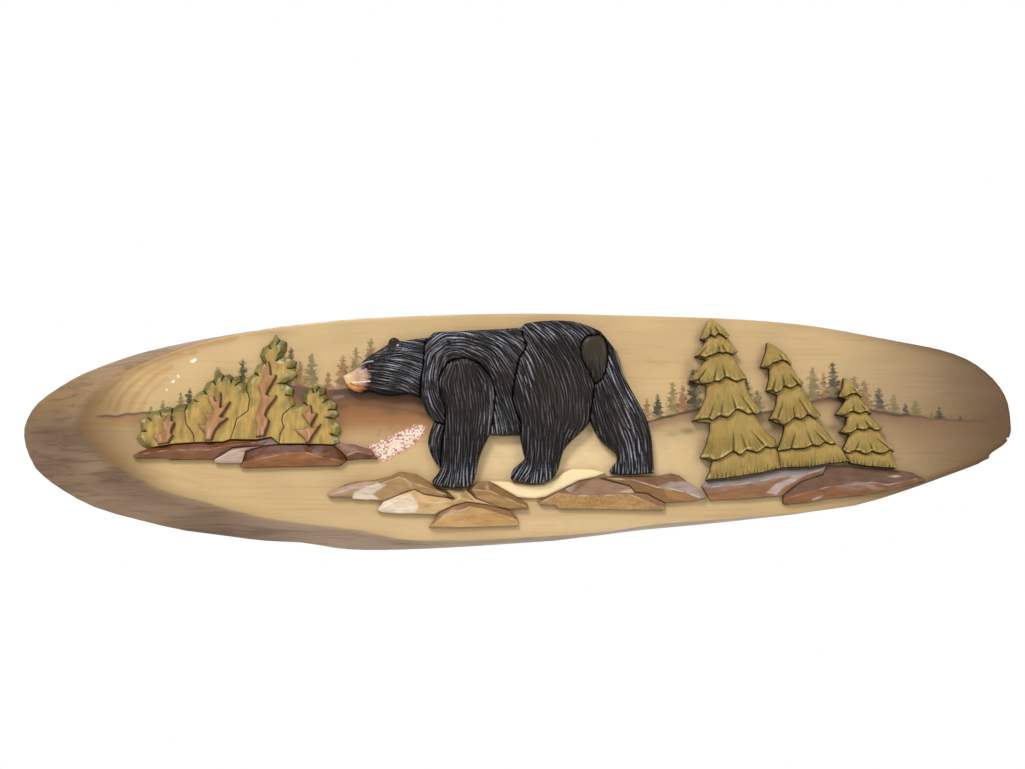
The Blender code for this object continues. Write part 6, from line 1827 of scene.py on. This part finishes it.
def slab_material():
    """Varnished slab: grain along the log, brushed pines, blossom stipple, chips and a raw back."""
    made, shader, nodes = new_material("slab_varnish")
    tree = made.node_tree
    paint = nodes.attribute("paint")
    place_now = nodes.place()
    behind = nodes.math("ADD", nodes.split(place_now)["Y"], SLAB_THICKNESS)
    on_face = nodes.ramp(behind, *FACE_DEPTH, 1.0, 0.0)
    fibre = nodes.noise(nodes.stretched((0.09, 0.03, 0.0030)), detail=6, roughness=0.6, distortion=0.4)
    broad = nodes.noise(nodes.stretched((0.25, 0.1, 0.03)), detail=3)
    brown = nodes.mix(1.0, paint, (0.62, 0.46, 0.28), "MULTIPLY")
    colour = nodes.mix(nodes.ramp(fibre, 0.47, 0.78, 0.0, 0.26), paint, brown)
    colour = nodes.mix(nodes.ramp(broad, 0.4, 0.7, 0.0, 0.12), colour, brown)
    weathered = nodes.noise(nodes.stretched((0.16, 0.012, 0.0075), 0.10), detail=5, roughness=0.65,
                            distortion=0.8)
    log_dark = nodes.mix(1.0, paint, (0.42, 0.36, 0.32), "MULTIPLY")
    off_face = nodes.math("SUBTRACT", 1.0, on_face)
    streaks = nodes.math("MULTIPLY", off_face, nodes.ramp(weathered, 0.46, 0.68, 0.0, 0.6))
    colour = nodes.mix(streaks, colour, log_dark)
    brush = nodes.noise(nodes.stretched((0.0040, 0.02, 0.0026)), detail=2, roughness=0.6)
    fade = nodes.noise(nodes.stretched((0.012, 0.02, 0.008)), detail=2)
    group = pine_group()
    scale = EYE_DISTANCE / EYE_FOCUS
    for u, v, height, half, chart in PINES:
        x, z = place((u, v), 0)
        pine = tree.nodes.new("ShaderNodeGroup")
        pine.node_tree = group
        tree.links.new(place_now, pine.inputs["Place"])
        pine.inputs["Tip"].default_value = (x, 0, z)
        pine.inputs["Size"].default_value = (half * scale, 1, height * scale)
        tree.links.new(brush, pine.inputs["Brush"])
        strength = 0.92 if chart is PINE_GREEN else 0.78
        faded = nodes.ramp(fade, 0.3, 0.55, strength * 0.65, strength)
        cover = nodes.math("MULTIPLY", pine.outputs["Cover"], faded)
        colour = nodes.mix(nodes.math("MULTIPLY", cover, on_face), colour, paint_of(*chart))
    blossom = nodes.attribute("blossom", "Fac")
    cells = tree.nodes.new("ShaderNodeTexVoronoi")
    cells.inputs["Scale"].default_value = 1.0
    tree.links.new(nodes.stretched((0.0022, 0.02, 0.0019)), cells.inputs["Vector"])
    dabs = nodes.noise(nodes.stretched((0.0030, 0.02, 0.0030)), detail=3, roughness=0.7)
    edge = nodes.math("ADD", blossom, nodes.centred(dabs, 2.2))
    pink = nodes.mix(nodes.ramp(edge, 0.45, 0.85), BLOSSOM_PINK, BLOSSOM_PALE)
    flecks = nodes.ramp(cells.outputs["Distance"], 0.52, 0.74, 0.0, 0.8)
    pink = nodes.mix(flecks, pink, BLOSSOM_RED)
    cover = nodes.math("MULTIPLY", nodes.ramp(edge, 0.44, 0.56, 0.0, 0.95), nodes.ramp(blossom, 0.02, 0.12))
    colour = nodes.mix(nodes.math("MULTIPLY", cover, on_face), colour, pink)
    ragged = nodes.centred(dabs, 0.006)
    for u, v, radius in CHIPS:
        x, z = place((u, v), 0)
        away = nodes.vector("DISTANCE", place_now, (x, -SLAB_THICKNESS, z))
        rough_edge = nodes.math("ADD", away, ragged)
        bare = nodes.ramp(rough_edge, radius * 0.0006, radius * 0.0009, 1.0, 0.0)
        colour = nodes.mix(bare, colour, CHIP_PALE)
    nodes.feed(shader.inputs["Base Color"], colour)
    fine = nodes.noise(nodes.stretched((0.004, 0.004, 0.002)), detail=4)
    uneven = nodes.math("ADD", broad, nodes.math("MULTIPLY", fine, 0.4))
    nodes.feed(shader.inputs["Roughness"], nodes.ramp(uneven, 0.4, 0.9, 0.30, 0.46))
    height = nodes.share_sum(fibre, 0.7, fine, 0.3)
    rutted = nodes.math("MULTIPLY", nodes.math("MULTIPLY", weathered, off_face), 6.0)
    nodes.feed(shader.inputs["Normal"], nodes.bump(nodes.math("ADD", height, rutted), 0.00012))
    gloss(shader, 0.30, 0.12, 0.25)
    return made


def bushes():
    """Four bushes, each from its leafy edge and the seams that it shares."""
    bush("bush_1", LEAVES_1, [BUSH_SEAM_12, BROW_1[::-1]], 101)
    bush("bush_2", LEAVES_2, [BUSH_SEAM_23, BROW_2[::-1], BUSH_SEAM_12[::-1]], 102)
    bush("bush_3", LEAVES_3, [BUSH_SEAM_34, BROW_3[::-1], BUSH_SEAM_23[::-1]], 103)
    bush("bush_4", LEAVES_4, [BROW_4[::-1], BUSH_SEAM_34[::-1]], 104)


def camera():
    """The eye that the drawing grid belongs to."""
    data = bpy.data.cameras.new("camera")
    data.sensor_width = 36
    data.lens = 36 * EYE_FOCUS / (2 * GRID_MIDDLE[0])
    made = add_object("camera", data)
    made.location = (EYE_ASIDE, EYE_Y, EYE_Z)
    made.rotation_euler = (math.pi / 2 + EYE_TILT, 0, 0)
    bpy.context.scene.camera = made


def area_light(name, at, size, power):
    """A soft rectangular light that faces the plaque's middle."""
    data = bpy.data.lights.new(name, "AREA")
    data.shape = "RECTANGLE"
    data.size, data.size_y = size
    data.energy = power
    made = add_object(name, data)
    made.location = at
    made.rotation_euler = (-Vector(at)).to_track_quat("-Z", "Y").to_euler()


FLOOR = -1.2
FLOOR_REACH = 4
PALE = (0.9, 0.9, 0.9)
# Lights: name, place, width and height, power in watts
LIGHTS = [("key", (-0.7, -1.6, 1.5), (0.7, 0.5), 27), ("fill", (1.2, -1.6, 0.5), (0.8, 0.8), 6)]


def studio():
    """A plain pale floor below the plaque, a pale room that is dimmer in front, and soft lights."""
    mesh = bpy.data.meshes.new("floor")
    ends = [(-1, -1), (1, -1), (1, 1), (-1, 1)]
    mesh.from_pydata([(x * FLOOR_REACH, y * FLOOR_REACH, FLOOR) for x, y in ends], [], [(0, 1, 2, 3)])
    pale, shader, nodes = new_material("pale_floor")
    nodes.feed(shader.inputs["Base Color"], PALE)
    nodes.feed(shader.inputs["Roughness"], 0.8)
    mesh.materials.append(pale)
    floor = add_object("floor", mesh)
    world = bpy.data.worlds.new("pale_room")
    bpy.context.scene.world = world
    world.use_nodes = True
    nodes = Nodes(world.node_tree)
    strength = nodes.ramp(nodes.split(nodes.place("Generated"))["Y"], -0.3, 0.5, 0.50, 1.0)
    background = world.node_tree.nodes["Background"]
    nodes.feed(background.inputs["Color"], (1, 1, 1))
    nodes.feed(background.inputs["Strength"], strength)
    for name, at, size, power in LIGHTS:
        area_light(name, at, size, power)
    bpy.context.scene.view_settings.view_transform = "Standard"


MATERIALS["slab_wood"] = slab_material()
slab()
bear()
bushes()
branches()
rocks()
path()
for spruce_number, (spruce_name, (tip, tiers, foot)) in enumerate(SPRUCES.items()):
    spruce(spruce_name, tip, tiers, foot, 200 + spruce_number)
camera()
studio()
